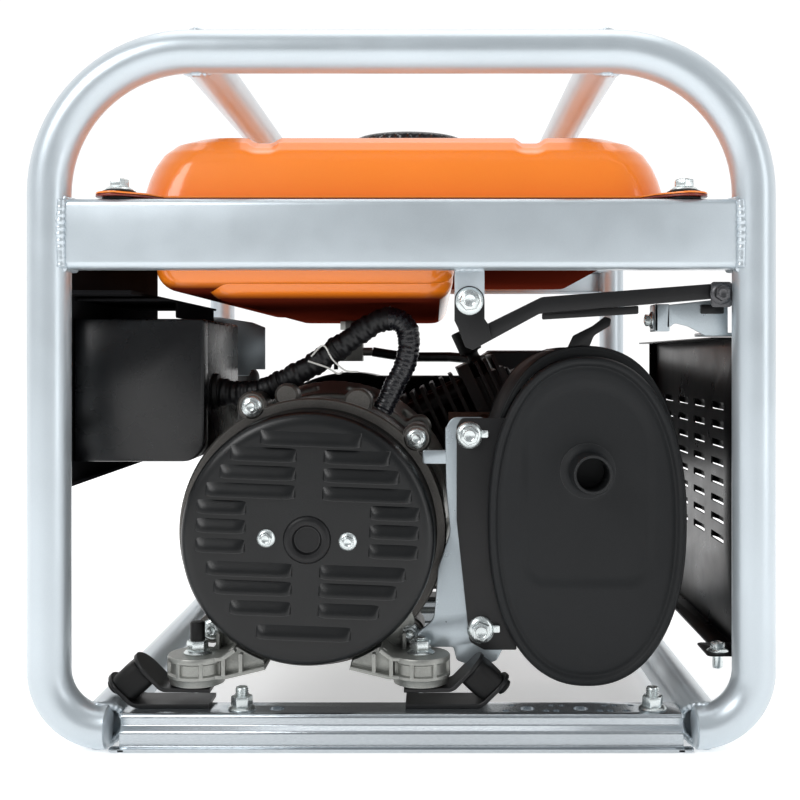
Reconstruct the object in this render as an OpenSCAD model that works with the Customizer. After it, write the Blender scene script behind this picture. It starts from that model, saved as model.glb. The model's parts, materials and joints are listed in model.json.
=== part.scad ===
// Open-frame portable generator: a petrol engine drives an alternator inside a welded tube frame.
// +X is the muffler side, -Y the alternator end and +Z up. The origin is on the floor, under the
// middle of the frame. Every node is one piece of the machine, or a group of identical fasteners.

/* [Frame] */
// Width over the two hoop legs
frame_w = 440; // [436:1:446]
// Length over the two hoops
frame_l = 600; // [598:1:610]
// Height over the hoops
frame_h = 423; // [420:1:430]
// Diameter of the frame tube
tube_d = 25.4; // [24:0.1:25.4]
// Wall of the frame tube
tube_wall = 1.6; // [1.2:0.1:2.5]
// Bend radius of a hoop's top corners, to the tube's middle
top_bend = 84; // [76:1:90]
// Bend radius of a hoop's feet, to the tube's middle
foot_bend = 34; // [32:1:36]
// Spacing of the two top side tubes
top_tube_gap = 242; // [230:1:244]
// Spacing of the two base side tubes
base_tube_gap = 358; // [356:1:360]

/* [Fuel tank] */
// Width of the tank's upper pressing
tank_w = 329; // [315:1:332]
// Length of the tank's upper pressing
tank_l = 524; // [510:1:526]
// Height of the seam between the two pressings
seam_z = 326; // [326:0.5:328]
// Rise of the upper pressing over the seam
tank_rise = 44; // [36:1:46]
// Depth of the lower pressing under the seam
tank_drop = 61; // [55:1:62]
// Diameter of the fuel cap
cap_d = 84; // [70:1:88]

/* [Alternator] */
// Crankshaft's place across the frame
axis_x = -57; // [-58:0.5:-56]
// Crankshaft's height over the floor
axis_z = 121; // [120.5:0.5:121.5]
// Diameter of the louvred end cover
cover_d = 154; // [150:1:156]
// Turn of the end cover about its axis
cover_turn = 2.2; // [0:0.1:3]
// Outer diameter of the stator laminations
stator_d = 160; // [156:1:162]
// Diameter of the rotor
rotor_d = 102; // [98:1:103]

/* [Muffler] */
// Width of the oval muffler over its seam
muffler_w = 122; // [114:1:122]
// Height of the oval muffler over its seam
muffler_h = 202; // [190:1:204]
// Length of the muffler's shell
muffler_l = 130; // [110:1:134]
// Inner diameter of the exhaust outlet
outlet_d = 19.5; // [16:0.5:21]

/* [Engine] */
// Cylinder bore
bore_d = 68; // [64:1:70]
// Piston stroke
stroke = 45; // [40:1:46]
// Lean of the cylinder over the horizontal
cylinder_lean = 25; // [24:1:26]
// Travel of the starter handle
pull_travel = 550; // [400:10:600]

/* [Hidden] */
$fn = 72;
HULL_FN = 32;
gap = 0.2;
run_gap = 0.06;
tube_r = tube_d / 2;
hoop_y = frame_l / 2 - tube_r;
leg_x = frame_w / 2 - tube_r;
top_z = frame_h - tube_r;
butt_y = hoop_y - tube_r - gap;

rail_top_z = seam_z - 3;
rail_front_h = 41;
rail_back_h = 25;
rail_face_y = hoop_y + 8.7;
rail_shelf = 30;
rail_end_x = leg_x - 9.3;
sheet = 2;
hanger_x = 40;
hanger_w = 17.5;
hanger_z = 248;
hanger_bolt_z = 263.5;
hanger_y = -hoop_y;

base_top_z = 20;
base_rail_x = base_tube_gap / 2 - tube_r - 0.5;
base_lip_x = leg_x - foot_bend - 2;
front_rail_y = -259;
back_rail_y = 76;
base_bolt_x = [-96, 150];
trolley_hole_x = [-75, 75, 107];
trolley_hole_y = 15.5;
trolley_hole_r = 4.5;

ear_x = 167;
ear_y = 284;
ear_r = 14;
flange_w = 12;
tank_corner = 30;
cap_y = -90;
neck_d = 60;

cover_y = -275;
bracket_y = -241;
stator_y = -212;
stator_l = 94;
adapter_y = -117.5;
engine_y = -75;
ear_bolt_r = 87.5;
ear_angles = [42, 116, 224, 314];
cover_bolt_x = 24.5;
foot_dx = 68;
foot_y = -262;
foot_r = 18;
foot_z = 32.2;
foot_h = 18;
louvre_pitch = 11;
// Each louvre row: its number from the middle, then where it starts and ends from the centre line
louvre_rows = [
    [-4, 8, 46], [-3, 8, 55], [-2, 7, 62], [-1, 38, 67], [0, 38, 67],
    [1, 38, 67], [2, 7, 62], [3, 8, 55], [4, 8, 46]
];
louvre_end_half = 30;

shaft_r = 12;
bearing_r = 20;
case_y = [engine_y, 85];
case_r = 70;
web_r = 48;
rod_l = 84;
deck = stroke / 2 + rod_l + 21;
fin_y = [-56, 58];

muffler_x = 113;
muffler_z = 130;
muffler_y = -262;
rim = 5;
outlet_x = 113;
outlet_z = 161;
outlet_l = 25;
bracket_bolts = [[40.8, 182.4], [48, 62.5]];
plate_y = -252;

guard_x = 205;
guard_y = [-253, 19];
guard_z = [50, 243];
guard_slot_y = [-205, -150.5, -96, -41.5];
guard_slot_l = 37;
guard_slot_z = 110;
guard_slot_rows = 8;
guard_slot_pitch = 12.3;
guard_bolt = [192, -262];
arm_tab = [152, -262, 253];
panel_bolt = [-262, 171];

panel_x = -214;
panel_y = [-252, 5];
panel_z = [150, 306];
shelf_z = 272;
box_x = [-210.7, -127];
box_y = [-230, -100];
box_z = [164, 255];
outlet_spots = [-196, -134];
panel_mid_z = 207;
meter_spot = [-72, 222];
rocker_y = -22;
rocker_z = 236;
rocker_depth = 13;
rocker_tilt = 8;
breaker_spot = [-22, 204];
terminal_spots = [[-92, 172], [-70, 172], [-48, 172], [-22, 172]];

fan_y = [88, 150];
fan_r = 96;
duct_x = 58;
duct_z = 214;
recoil_y = [150.2, 198];
recoil_r = 84;
reel_r = 45;
reel_y = 172;
rope_z = axis_z + reel_r;
rope_d = 4.5;
choke_pivot = [84, 176];
handle_x = -162;

// Route of the wiring harness, from the control box over to the alternator's end bracket
harness_d = 15;
harness_route = [
    [-125.3, -196, 208], [-116, -198, 208], [-104, -202, 209], [-90, -207, 212], [-76, -211, 217],
    [-62, -214, 224], [-48, -217, 233], [-36, -220, 241], [-25, -222, 249], [-15, -224, 254],
    [-6, -226, 255], [1, -227, 250], [3, -227, 241], [2, -227, 231], [-1, -227, 222],
    [-6, -227, 213], [-10, -227, 204], [-14, -227, 196.5]
];
hose_d = 9;
hose_route = [
    [-40, 152, 236], [-28, 152, 234], [-14, 150, 232], [2, 145, 231], [18, 136, 231], [33, 124, 231],
    [45, 111, 230], [54, 99, 228], [64, 92, 225], [73, 91, 220], [78, 91.5, 214], [79, 92, 209]
];

// ---- shared shapes ----

// A round bar from point a to point b
module rod(a, b, d, fn = $fn) {
    v = b - a;
    translate(a) rotate([0, acos(v.z / norm(v)), atan2(v.y, v.x)]) cylinder(h = norm(v), d = d, $fn = fn);
}

// A flat outline in X and Z, given a thickness from y0 to y1
module xz(y0, y1) {
    translate([0, y1, 0]) rotate([90, 0, 0]) linear_extrude(y1 - y0) children();
}

// A flat outline in Y and Z, given a thickness from x0 to x1
module yz(x0, x1) {
    translate([x0, 0, 0]) rotate([90, 0, 90]) linear_extrude(x1 - x0) children();
}

// A box from its lowest corner to its highest
module box(a, b) {
    translate(a) cube(b - a);
}

// A disc or tube that lies along Y
module y_disc(x, z, y0, y1, r, hole = 0) {
    translate([x, y1, z]) rotate([90, 0, 0]) difference() {
        cylinder(h = y1 - y0, r = r);
        if (hole > 0) translate([0, 0, -1]) cylinder(h = y1 - y0 + 2, r = hole);
    }
}

// A flange bolt that stands on the XY plane, with its shank below
module flange_bolt(d, shank) {
    cylinder(h = 1.6, d = d * 2.1);
    translate([0, 0, 1.6]) cylinder(h = d * 0.7, d = d * 1.5, $fn = 6);
    translate([0, 0, -shank]) cylinder(h = shank + 1, d = d);
}

// A flange nut with its stud showing
module flange_nut(d, stud) {
    cylinder(h = 1.6, d = d * 2.1);
    translate([0, 0, 1.6]) cylinder(h = d * 0.8, d = d * 1.55, $fn = 6);
    cylinder(h = d * 0.8 + 1.6 + stud, d = d);
}

// Points of a tube swept along a route, and its faces
function unit(v) = v / norm(v);
function heading(p, i) = unit(p[min(i + 1, len(p) - 1)] - p[max(i - 1, 0)]);
function side_of(t) = unit(cross(t, [0, 1, 0.001]));
function ring(c, t, r, n) = let (u = side_of(t), v = cross(t, u))
    [for (k = [0 : n - 1]) c + r * (cos(360 * k / n) * u + sin(360 * k / n) * v)];
module swept_tube(route, d, n = 12) {
    m = len(route);
    points = [for (i = [0 : m - 1]) each ring(route[i], heading(route, i), d / 2, n)];
    sides = [for (i = [0 : m - 2]) for (k = [0 : n - 1])
        [i * n + k, (i + 1) * n + k, (i + 1) * n + (k + 1) % n, i * n + (k + 1) % n]];
    near_end = [[for (k = [0 : n - 1]) k]];
    far_end = [[for (k = [n - 1 : -1 : 0]) (m - 1) * n + k]];
    polyhedron(concat(points), concat(sides, near_end, far_end), convexity = 6);
}

// ---- frame ----

module quarter_bend(x, z, bend, r, turn) {
    translate([x, 0, z]) rotate([90, turn, 0]) rotate_extrude(angle = 90) translate([bend, 0]) circle(r = r);
}

// The whole hoop as a solid bar of radius r; past_end lengthens the feet
module hoop_bar(r, past_end) {
    cx = leg_x - top_bend;
    cz = top_z - top_bend;
    fx = leg_x - foot_bend;
    fz = tube_r + foot_bend;
    rod([-cx, 0, top_z], [cx, 0, top_z], 2 * r);
    quarter_bend(cx, cz, top_bend, r, 0);
    quarter_bend(-cx, cz, top_bend, r, -90);
    for (s = [-1, 1]) {
        rod([s * leg_x, 0, fz], [s * leg_x, 0, cz], 2 * r);
        if (past_end > 0) rod([s * fx, 0, tube_r], [s * (fx - past_end), 0, tube_r], 2 * r);
    }
    quarter_bend(fx, fz, foot_bend, r, 90);
    quarter_bend(-fx, fz, foot_bend, r, 180);
}

module hoop(y) {
    color("lightsteelblue") translate([0, y, 0]) difference() {
        hoop_bar(tube_r, 0);
        hoop_bar(tube_r - tube_wall, 3);
    }
}

module side_tubes(spacing, z) {
    color("lightsteelblue") for (s = [-1, 1]) difference() {
        rod([s * spacing / 2, -butt_y, z], [s * spacing / 2, butt_y, z], tube_d);
        rod([s * spacing / 2, -frame_l, z], [s * spacing / 2, frame_l, z], tube_d - 2 * tube_wall);
    }
}

// A channel across the hoop that the tank hangs on, face outwards
module tank_rail(height) {
    difference() {
        union() {
            box([-rail_end_x, -rail_face_y, rail_top_z - height],
                [rail_end_x, -rail_face_y + sheet, rail_top_z]);
            box([-rail_end_x, -rail_face_y, rail_top_z - sheet],
                [rail_end_x, -rail_face_y + rail_shelf, rail_top_z]);
            box([-rail_end_x, -rail_face_y, rail_top_z - height],
                [rail_end_x, -rail_face_y + 14, rail_top_z - height + sheet]);
        }
        for (s = [-1, 1]) translate([s * leg_x, -hoop_y, 0]) cylinder(h = frame_h, r = tube_r + gap);
        for (s = [-1, 1]) translate([s * ear_x, -ear_y, 0]) cylinder(h = frame_h, r = 5);
    }
}

module hanger_tab() {
    mid = hanger_x;
    difference() {
        box([mid - hanger_w / 2, hanger_y, hanger_z],
            [mid + hanger_w / 2, hanger_y + sheet, rail_top_z - rail_front_h + 0.5]);
        y_disc(mid, hanger_bolt_z, hanger_y - 1, hanger_y + 5, 4.3);
    }
}

module front_tank_rail() {
    color("lightsteelblue") {
        tank_rail(rail_front_h);
        hanger_tab();
    }
}

module rear_tank_rail() {
    color("lightsteelblue") mirror([0, 1, 0]) tank_rail(rail_back_h);
}

// A pressed rail across the floor. y is its straight back edge; the stepped front faces -Y
module base_rail(y, lip_x) {
    difference() {
        union() {
            yz(-base_rail_x, base_rail_x) translate([y, 0]) polygon([
                [0, 0], [0, base_top_z], [-27, base_top_z], [-27, 13], [-31, 10], [-31, 0],
                [-31 + sheet, 0], [-31 + sheet, 9.4], [-25, 12.4], [-25, base_top_z - sheet],
                [-sheet, base_top_z - sheet], [-sheet, 0]
            ]);
            yz(-lip_x, lip_x) translate([y, 0]) polygon([[-36, 0], [-30, 0], [-30, sheet], [-36, sheet]]);
        }
        for (x = trolley_hole_x)
            translate([x, y - trolley_hole_y, base_top_z - 6]) cylinder(h = 8, r = trolley_hole_r);
    }
}

module front_base_rail() {
    color("silver") difference() {
        base_rail(front_rail_y, base_lip_x);
        for (x = base_bolt_x)
            translate([x, front_rail_y - trolley_hole_y, 0]) cylinder(h = 30, r = 4.2);
    }
}

module rear_base_rail() {
    color("silver") base_rail(back_rail_y, base_rail_x);
}

// ---- fuel tank ----

// Four upright corner posts of a rounded box, to be hulled
module corner_posts(x0, x1, y0, y1, z, r, h = 0.5) {
    for (x = [x0 + r, x1 - r]) for (y = [y0 + r, y1 - r])
        translate([x, y, z]) cylinder(h = h, r = r, $fn = HULL_FN);
}

module tank_dome(inset) {
    w = tank_w / 2 - inset;
    l = tank_l / 2 - inset;
    top = seam_z + tank_rise - inset;
    hull() {
        corner_posts(-w, w, -l, l, seam_z, tank_corner - inset);
        corner_posts(-w + 4, w - 4, -l + 2, l - 2, top - 28, tank_corner - inset);
        corner_posts(-w + 14, w - 14, -l + 8, l - 8, top - 12, tank_corner - inset);
        corner_posts(-w + 34, w - 34, -l + 22, l - 22, top - 3, tank_corner - inset);
        corner_posts(-w + 70, w - 70, -l + 60, l - 60, top - 0.5, tank_corner - inset);
    }
}

// The seam flange with its four bolting ears
module tank_flange(z, t) {
    w = tank_w / 2 + flange_w;
    l = tank_l / 2 + flange_w;
    difference() {
        union() {
            box([-w, -l + 20, z], [w, l - 20, z + t]);
            box([-w + 20, -l, z], [w - 20, l, z + t]);
            for (x = [-w + 20, w - 20]) for (y = [-l + 20, l - 20]) translate([x, y, z]) cylinder(h = t, r = 20);
            for (x = [-ear_x, ear_x]) for (y = [-ear_y, ear_y]) {
                translate([x, y, z]) cylinder(h = t, r = ear_r);
                box([x - ear_r, min(y, y - sign(y) * 24), z], [x + ear_r, max(y, y - sign(y) * 24), z + t]);
            }
        }
        for (x = [-ear_x, ear_x]) for (y = [-ear_y, ear_y]) translate([x, y, z - 1]) cylinder(h = 5, r = 4.5);
    }
}

module tank_upper_shell() {
    wall = 1.5;
    color("darkorange") difference() {
        union() {
            tank_flange(seam_z, 1.2);
            tank_dome(0);
            translate([0, cap_y, seam_z + tank_rise - 3]) cylinder(h = 9, d = neck_d);
        }
        translate([0, 0, -1]) tank_dome(wall);
        translate([0, cap_y, seam_z]) cylinder(h = 80, d = neck_d - 8);
    }
}

// One basin of the lower pressing, with sloped lower edges
module basin(x0, x1, y0, y1, depth, inset, top) {
    r = 16;
    slope = 12;
    low = seam_z - depth + inset;
    knee = low + 14;
    xa = x0 + inset;
    xb = x1 - inset;
    ya = y0 + inset;
    yb = y1 - inset;
    xz(y0 + r, y1 - r) polygon([[xa, top], [xa, knee], [xa + slope, low], [xb - slope, low], [xb, knee], [xb, top]]);
    yz(x0 + r, x1 - r) polygon([[ya, top], [ya, knee], [ya + slope, low], [yb - slope, low], [yb, knee], [yb, top]]);
    for (x = [x0 + r, x1 - r]) for (y = [y0 + r, y1 - r]) translate([x, y, 0]) {
        translate([0, 0, low]) cylinder(h = knee - low, r1 = r - slope - inset, r2 = r - inset);
        translate([0, 0, knee]) cylinder(h = top - knee, r = r - inset);
    }
}

module tank_lower_basins(inset, top) {
    w = tank_w / 2 - 5;
    l = tank_l / 2 - 5;
    basin(-w, w, -l, l, 26, inset, top);
    basin(-w + 6, 32, -l + 1, l - 1, tank_drop, inset, top - 0.2);
}

module tank_lower_shell() {
    color("darkorange") difference() {
        union() {
            tank_flange(seam_z - 1.3, 1.2);
            tank_lower_basins(0, seam_z - 1.2);
        }
        tank_lower_basins(1.5, seam_z + 4);
        translate([tap_x, tap_y, seam_z - tank_drop - 5]) cylinder(h = 20, r = 6);
    }
}

module at_tank_ears() {
    for (x = [-ear_x, ear_x]) for (y = [-ear_y, ear_y]) translate([x, y, 0]) children();
}

module tank_washers() {
    color("black") at_tank_ears() {
        translate([0, 0, seam_z + 1.3]) difference() {
            cylinder(h = 1.2, r = 10);
            translate([0, 0, -1]) cylinder(h = 5, r = 4.4);
        }
        translate([0, 0, rail_top_z + 0.1]) difference() {
            cylinder(h = seam_z - 1.4 - rail_top_z - 0.1, r = 11.5);
            translate([0, 0, -1]) cylinder(h = 5, r = 4.4);
        }
    }
}

module fuel_cap() {
    z = seam_z + tank_rise + 6.4;
    color([0.08, 0.08, 0.1]) translate([0, cap_y, z]) {
        cylinder(h = 14, d = cap_d);
        translate([0, 0, 14]) cylinder(h = 3, d1 = cap_d, d2 = cap_d - 6);
        for (a = [0 : 30 : 330]) rotate(a) translate([cap_d / 2 - 1, 0, 2]) cylinder(h = 10, r = 2.2);
        translate([0, 0, -14]) cylinder(h = 15, d = neck_d - 10);
    }
}

// ---- alternator ----

module at_ears() {
    for (a = ear_angles) translate([axis_x + ear_bolt_r * cos(a), 0, axis_z + ear_bolt_r * sin(a)]) children();
}

// The louvre slots of the end cover, as bars to cut with
module louvre_slots(y0, y1, height) {
    for (row = louvre_rows) for (s = [-1, 1]) {
        z = row[0] * louvre_pitch;
        box([min(s * row[1], s * row[2]), y0, z], [max(s * row[1], s * row[2]), y1, z + height]);
    }
    for (k = [-5, 5]) box([-louvre_end_half, y0, k * louvre_pitch], [louvre_end_half, y1, k * louvre_pitch + height]);
}

module alternator_end_cover() {
    wall = 1.5;
    depth = bracket_y - cover_y;
    color([0.13, 0.14, 0.15]) translate([axis_x, 0, axis_z]) rotate([0, cover_turn, 0]) difference() {
        union() {
            y_disc(0, 0, cover_y + 2, bracket_y - gap, cover_d / 2);
            y_disc(0, 0, cover_y, cover_y + 3, cover_d / 2 - 2);
            y_disc(0, 0, cover_y - 1.5, cover_y + 1, 14);
        }
        y_disc(0, 0, cover_y + wall, cover_y + depth + 5, cover_d / 2 - 2 - wall);
        y_disc(0, 0, cover_y - 3, cover_y - 0.2, 8.5);
        louvre_slots(cover_y - 2, cover_y + 3, 3);
        for (s = [-1, 1]) y_disc(s * cover_bolt_x, 0, cover_y - 2, cover_y + 4, 3.2);
    }
}

// One cast foot with its rib pockets, drawn for the +X side
module bracket_foot() {
    d = foot_dx;
    hub_z = axis_z - foot_z;
    y0 = foot_y - 11;
    y1 = foot_y + 29;
    difference() {
        union() {
            translate([d, foot_y, foot_z]) cylinder(h = foot_h, r = foot_r);
            xz(foot_y - 5, y1) polygon([
                [d, foot_z], [d, foot_z + foot_h], [48, 60 + foot_z], [20, 34], [20, 25 + foot_z],
                [38, 18 + foot_z], [46, foot_z + 4]
            ]);
            box([d - 14, foot_y, foot_z], [d + 8, y1, foot_z + foot_h]);
        }
        translate([d, foot_y, foot_z - 1]) cylinder(h = foot_h + 2, r = 4.6);
        translate([d, foot_y, foot_z + foot_h]) cylinder(h = 40, r = 10.5);
        for (x = [d - 11, d + 3]) box([x, y0 - 12, foot_z + 4.5], [x + 10, foot_y - foot_r + 4, foot_z + foot_h - 4]);
        box([44, y0 - 2, foot_z + 7], [52, foot_y - 2, foot_z + foot_h]);
    }
}

module alternator_end_bracket() {
    ring_r = 84;
    y1 = stator_y - gap;
    color("silver") difference() {
        union() {
            y_disc(axis_x, axis_z, bracket_y, y1, ring_r, 74);
            y_disc(axis_x, axis_z, bracket_y, bracket_y + 14, 27, bearing_r + run_gap);
            for (a = [0 : 60 : 300]) translate([axis_x, 0, axis_z]) rotate([0, a, 0])
                box([-4, bracket_y, 26], [4, bracket_y + 7, 75]);
            for (s = [-1, 1]) translate([axis_x, 0, axis_z]) rotate([0, cover_turn, 0])
                y_disc(s * cover_bolt_x, 0, cover_y + 1.7, bracket_y + 0.7, 6, 2.6);
            difference() {
                at_ears() y_disc(0, 0, bracket_y, y1, 9);
                y_disc(axis_x, axis_z, bracket_y - 1, y1 + 1, 74);
            }
            for (s = [-1, 1]) translate([axis_x, 0, 0]) scale_x(s) difference() {
                bracket_foot();
                y_disc(0, axis_z, bracket_y - 40, bracket_y - 0.2, cover_d / 2 + 1);
                y_disc(0, axis_z, bracket_y - 1, y1 + 30, 80);
            }
        }
        at_ears() y_disc(0, 0, bracket_y - 1, y1 + 1, 3.3);
        at_ears() y_disc(0, 0, bracket_y - 40, bracket_y - 0.05, 9.5);
        y_disc(axis_x, axis_z, y1, y1 + 30, 120);
    }
}

module scale_x(s) {
    if (s < 0) mirror([1, 0, 0]) children();
    else children();
}

module stator_core() {
    color("dimgray") difference() {
        y_disc(axis_x, axis_z, stator_y, stator_y + stator_l, stator_d / 2, rotor_d / 2 + 1);
        for (a = [0 : 30 : 330]) translate([axis_x, 0, axis_z]) rotate([0, a, 0])
            box([-4, stator_y - 1, 54], [4, stator_y + stator_l + 1, 68]);
    }
}

module stator_windings() {
    color("chocolate") {
        y_disc(axis_x, axis_z, stator_y - 14, stator_y - gap, 70, 54);
        y_disc(axis_x, axis_z, stator_y + stator_l + gap, stator_y + stator_l + 14, 70, 54);
        for (a = [0 : 30 : 330]) translate([axis_x, 0, axis_z]) rotate([0, a, 0])
            box([-3.6, stator_y - 1, 54.6], [3.6, stator_y + stator_l + 1, 67.4]);
    }
}

module engine_adapter() {
    color("silver") difference() {
        union() {
            y_disc(axis_x, axis_z, adapter_y, adapter_y + 16, 84);
            translate([axis_x, engine_y - gap, axis_z]) rotate([90, 0, 0])
                cylinder(h = engine_y - gap - adapter_y - 10, r1 = 92, r2 = 84);
            at_ears() y_disc(0, 0, adapter_y, adapter_y + 16, 9);
        }
        translate([axis_x, engine_y - 6, axis_z]) rotate([90, 0, 0]) cylinder(h = 60, r = 76);
        y_disc(axis_x, axis_z, engine_y - 8, engine_y + 2, 30);
        at_ears() y_disc(0, 0, adapter_y - 1, adapter_y + 17, 3.3);
        for (a = [15 : 30 : 345]) translate([axis_x, 0, axis_z]) rotate([0, a, 0])
            box([-11, adapter_y + 18, 70], [11, adapter_y + 30, 100]);
    }
}

module brush_holder() {
    color([0.12, 0.12, 0.12]) {
        box([axis_x - 10, -262, axis_z + 13], [axis_x + 10, bracket_y - 1, axis_z + 40]);
        box([axis_x - 34, -258, axis_z + 42], [axis_x + 30, -243, axis_z + 62]);
    }
}

module bearings() {
    color("gainsboro") {
        y_disc(axis_x, axis_z, bracket_y + 1, bracket_y + 13, bearing_r, 8.5 + run_gap);
        for (y = [engine_y + 6, case_y[1] - 18]) y_disc(axis_x, axis_z, y, y + 12, 26, shaft_r + run_gap);
    }
}

// ---- rubber mounts ----

mount_spots = [[foot_y, -1], [foot_y, 1], [back_rail_y - 15.5, -1], [back_rail_y - 15.5, 1]];
// Where the rubber's axis meets the two slanted plates, from the bolt
slant_low = [-43, 27];
slant_high = [-28, 40];
mount_half_y = 13;
plate_t = 2.5;

module at_mounts() {
    for (m = mount_spots) translate([axis_x + m[1] * foot_dx, m[0], 0]) scale_x(-m[1]) children();
}

// A slab square to the rubber's axis: from up to down along the slant, and from h0 to h1 along the axis
module slanted(at, up, down, h0, h1, half_y) {
    translate([at.x, 0, at.y]) rotate([0, 45, 0])
        translate([-up, -half_y, h0]) cube([up + down, 2 * half_y, h1 - h0]);
}

module mount_brackets() {
    t = plate_t / 2;
    color([0.1, 0.1, 0.1]) at_mounts() difference() {
        union() {
            slanted(slant_low, 17, 7.5, -t, t, mount_half_y);
            box([-38.5, -mount_half_y, base_top_z + 0.1], [8, mount_half_y, base_top_z + plate_t]);
            slanted(slant_high, 13, 13, -t, t, mount_half_y);
            box([-20, -mount_half_y, foot_z - 0.2 - plate_t], [10, mount_half_y, foot_z - 0.2]);
        }
        translate([0, 0, 26]) cylinder(h = 10, r = 4.3);
        translate([-60, -20, 0]) cube([60, 40, base_top_z + 0.1]);
        translate([0, 0, foot_z - 0.1]) cylinder(h = 20, r = 18.2);
    }
}

module mount_rubbers() {
    t = plate_t / 2 + 0.05;
    thick = norm(slant_high - slant_low) - 2 * t;
    color([0.05, 0.05, 0.05]) at_mounts() {
        slanted(slant_low, 12, 6.8, t, t + thick, 12);
        translate([slant_low.x, 0, slant_low.y]) rotate([0, 45, 0])
            translate([-10, 0, -t - 4.5]) cylinder(h = 4.5, r = 5);
    }
}

// ---- exhaust ----

// The muffler's oval, as a polygon: a superellipse a little fuller than an ellipse
function oval(w, h, n = 72, p = 2.25) = [for (k = [0 : n - 1]) let (a = 360 * k / n)
    [w / 2 * sign(cos(a)) * pow(abs(cos(a)), 2 / p), h / 2 * sign(sin(a)) * pow(abs(sin(a)), 2 / p)]];

module muffler_oval(inset) {
    translate([muffler_x, muffler_z]) polygon(oval(muffler_w - 2 * inset, muffler_h - 2 * inset));
}

module muffler_shell() {
    back = muffler_y + muffler_l;
    color([0.17, 0.18, 0.18]) difference() {
        union() {
            xz(muffler_y, muffler_y + 2 * rim) muffler_oval(0);
            xz(muffler_y + rim, back) muffler_oval(rim);
            xz(back - 2 * rim, back) muffler_oval(0);
        }
        xz(muffler_y + 2, back - 2) muffler_oval(rim + 1.5);
        xz(muffler_y - 1, muffler_y + 1.2) muffler_oval(rim);
        y_disc(outlet_x, outlet_z, muffler_y - 1, muffler_y + 4, outlet_d / 2 + 2.1);
        y_disc(exhaust_in.x, exhaust_in.z, back - 4, back + 1, 13.4);
    }
}

module muffler_outlet() {
    color([0.17, 0.18, 0.18]) difference() {
        union() {
            y_disc(outlet_x, outlet_z, muffler_y - outlet_l, muffler_y + 30, outlet_d / 2 + 2);
            y_disc(outlet_x, outlet_z, muffler_y - 3, muffler_y + 1.1, outlet_d / 2 + 4);
        }
        y_disc(outlet_x, outlet_z, muffler_y - outlet_l - 1, muffler_y + 31, outlet_d / 2);
    }
}

module muffler_side_plate() {
    color([0.12, 0.12, 0.13]) difference() {
        xz(plate_y - 2, plate_y) polygon([
            [33, 188], [36, 193], [66, 193], [66, 50], [50, 50], [41, 55], [33, 130]
        ]);
        for (b = bracket_bolts) y_disc(b.x, b.y, plate_y - 3, plate_y + 1, 4.4);
        xz(plate_y - 3, plate_y + 1) muffler_oval(-0.2);
    }
}

module muffler_bracket() {
    color("lightgray") difference() {
        union() {
            xz(plate_y + 0.1, plate_y + 3.1) polygon([
                [26, 186], [30, 193], [49, 193], [56, 186], [56, 74], [62, 66], [62, 54], [52, 51],
                [46, 51.2], [12, 51.2], [12, 60], [19, 68], [20, 100], [28, 122], [26, 150]
            ]);
            box([26, plate_y + 0.1, 130], [29, plate_y + 8, 186]);
            box([12, plate_y + 0.1, 164.5], [30, plate_y + 3.1, 173]);
        }
        for (b = bracket_bolts) y_disc(b.x, b.y, plate_y - 3, plate_y + 5, 4.4);
        y_disc(axis_x, axis_z, bracket_y - 40, bracket_y - 0.3, cover_d / 2 + 3);
        y_disc(axis_x, axis_z, bracket_y - 0.5, 0, 90);
        at_ears() y_disc(0, 0, bracket_y - 7, bracket_y, 10.5);
        xz(plate_y - 3, plate_y + 40) muffler_oval(-0.2);
    }
}

// A curved sheet over the muffler, between it and the fuel tank
module muffler_top_shield() {
    rise = 9;
    front = muffler_y + 16;
    back = muffler_y + muffler_l - 4;
    color([0.08, 0.08, 0.08]) {
        intersection() {
            difference() {
                xz(front, back) muffler_oval(-rise);
                xz(front + 1.5, back + 1) muffler_oval(-rise + 1.5);
                xz(front - 1, back + 1) muffler_oval(-0.5);
            }
            box([58, front, 168], [190, back, 250]);
        }
        xz(front + 2, front + 4) polygon([[84, 236], [92, 241], [112, 253], [114, 249], [103, 237]]);
        for (s = [-1, 1]) box([muffler_x + s * 12 - 5, front + 20, muffler_z + muffler_h / 2 - rim + 0.2],
            [muffler_x + s * 12 + 5, back - 20, muffler_z + muffler_h / 2 + rise - 1]);
    }
}

exhaust_in = [96, muffler_y + muffler_l, 168];
port = [58, fin_y[0], 174];
pipe_d = 26;
pipe_steps = 10;

// The exhaust pipe's middle line, an S from the head's port to the back of the muffler
function ease(t) = t * t * (3 - 2 * t);
function pipe_at(t) = [
    port.x + (exhaust_in.x - port.x) * ease(t), port.y - 2 + (exhaust_in.y - 1 - port.y) * t,
    port.z + (exhaust_in.z - port.z) * ease(t)
];

module exhaust_pipe() {
    route = [for (k = [0 : pipe_steps]) pipe_at(k / pipe_steps)];
    bore = concat([port], [for (k = [1 : pipe_steps - 1]) pipe_at(k / pipe_steps)], [exhaust_in - [0, 6, 0]]);
    color("sienna") difference() {
        union() {
            swept_tube(route, pipe_d, 16);
            box([port.x - 28, port.y - 7, port.z - 14], [port.x + 28, port.y - 0.5, port.z + 14]);
        }
        swept_tube(bore, pipe_d - 6, 16);
    }
}

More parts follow.
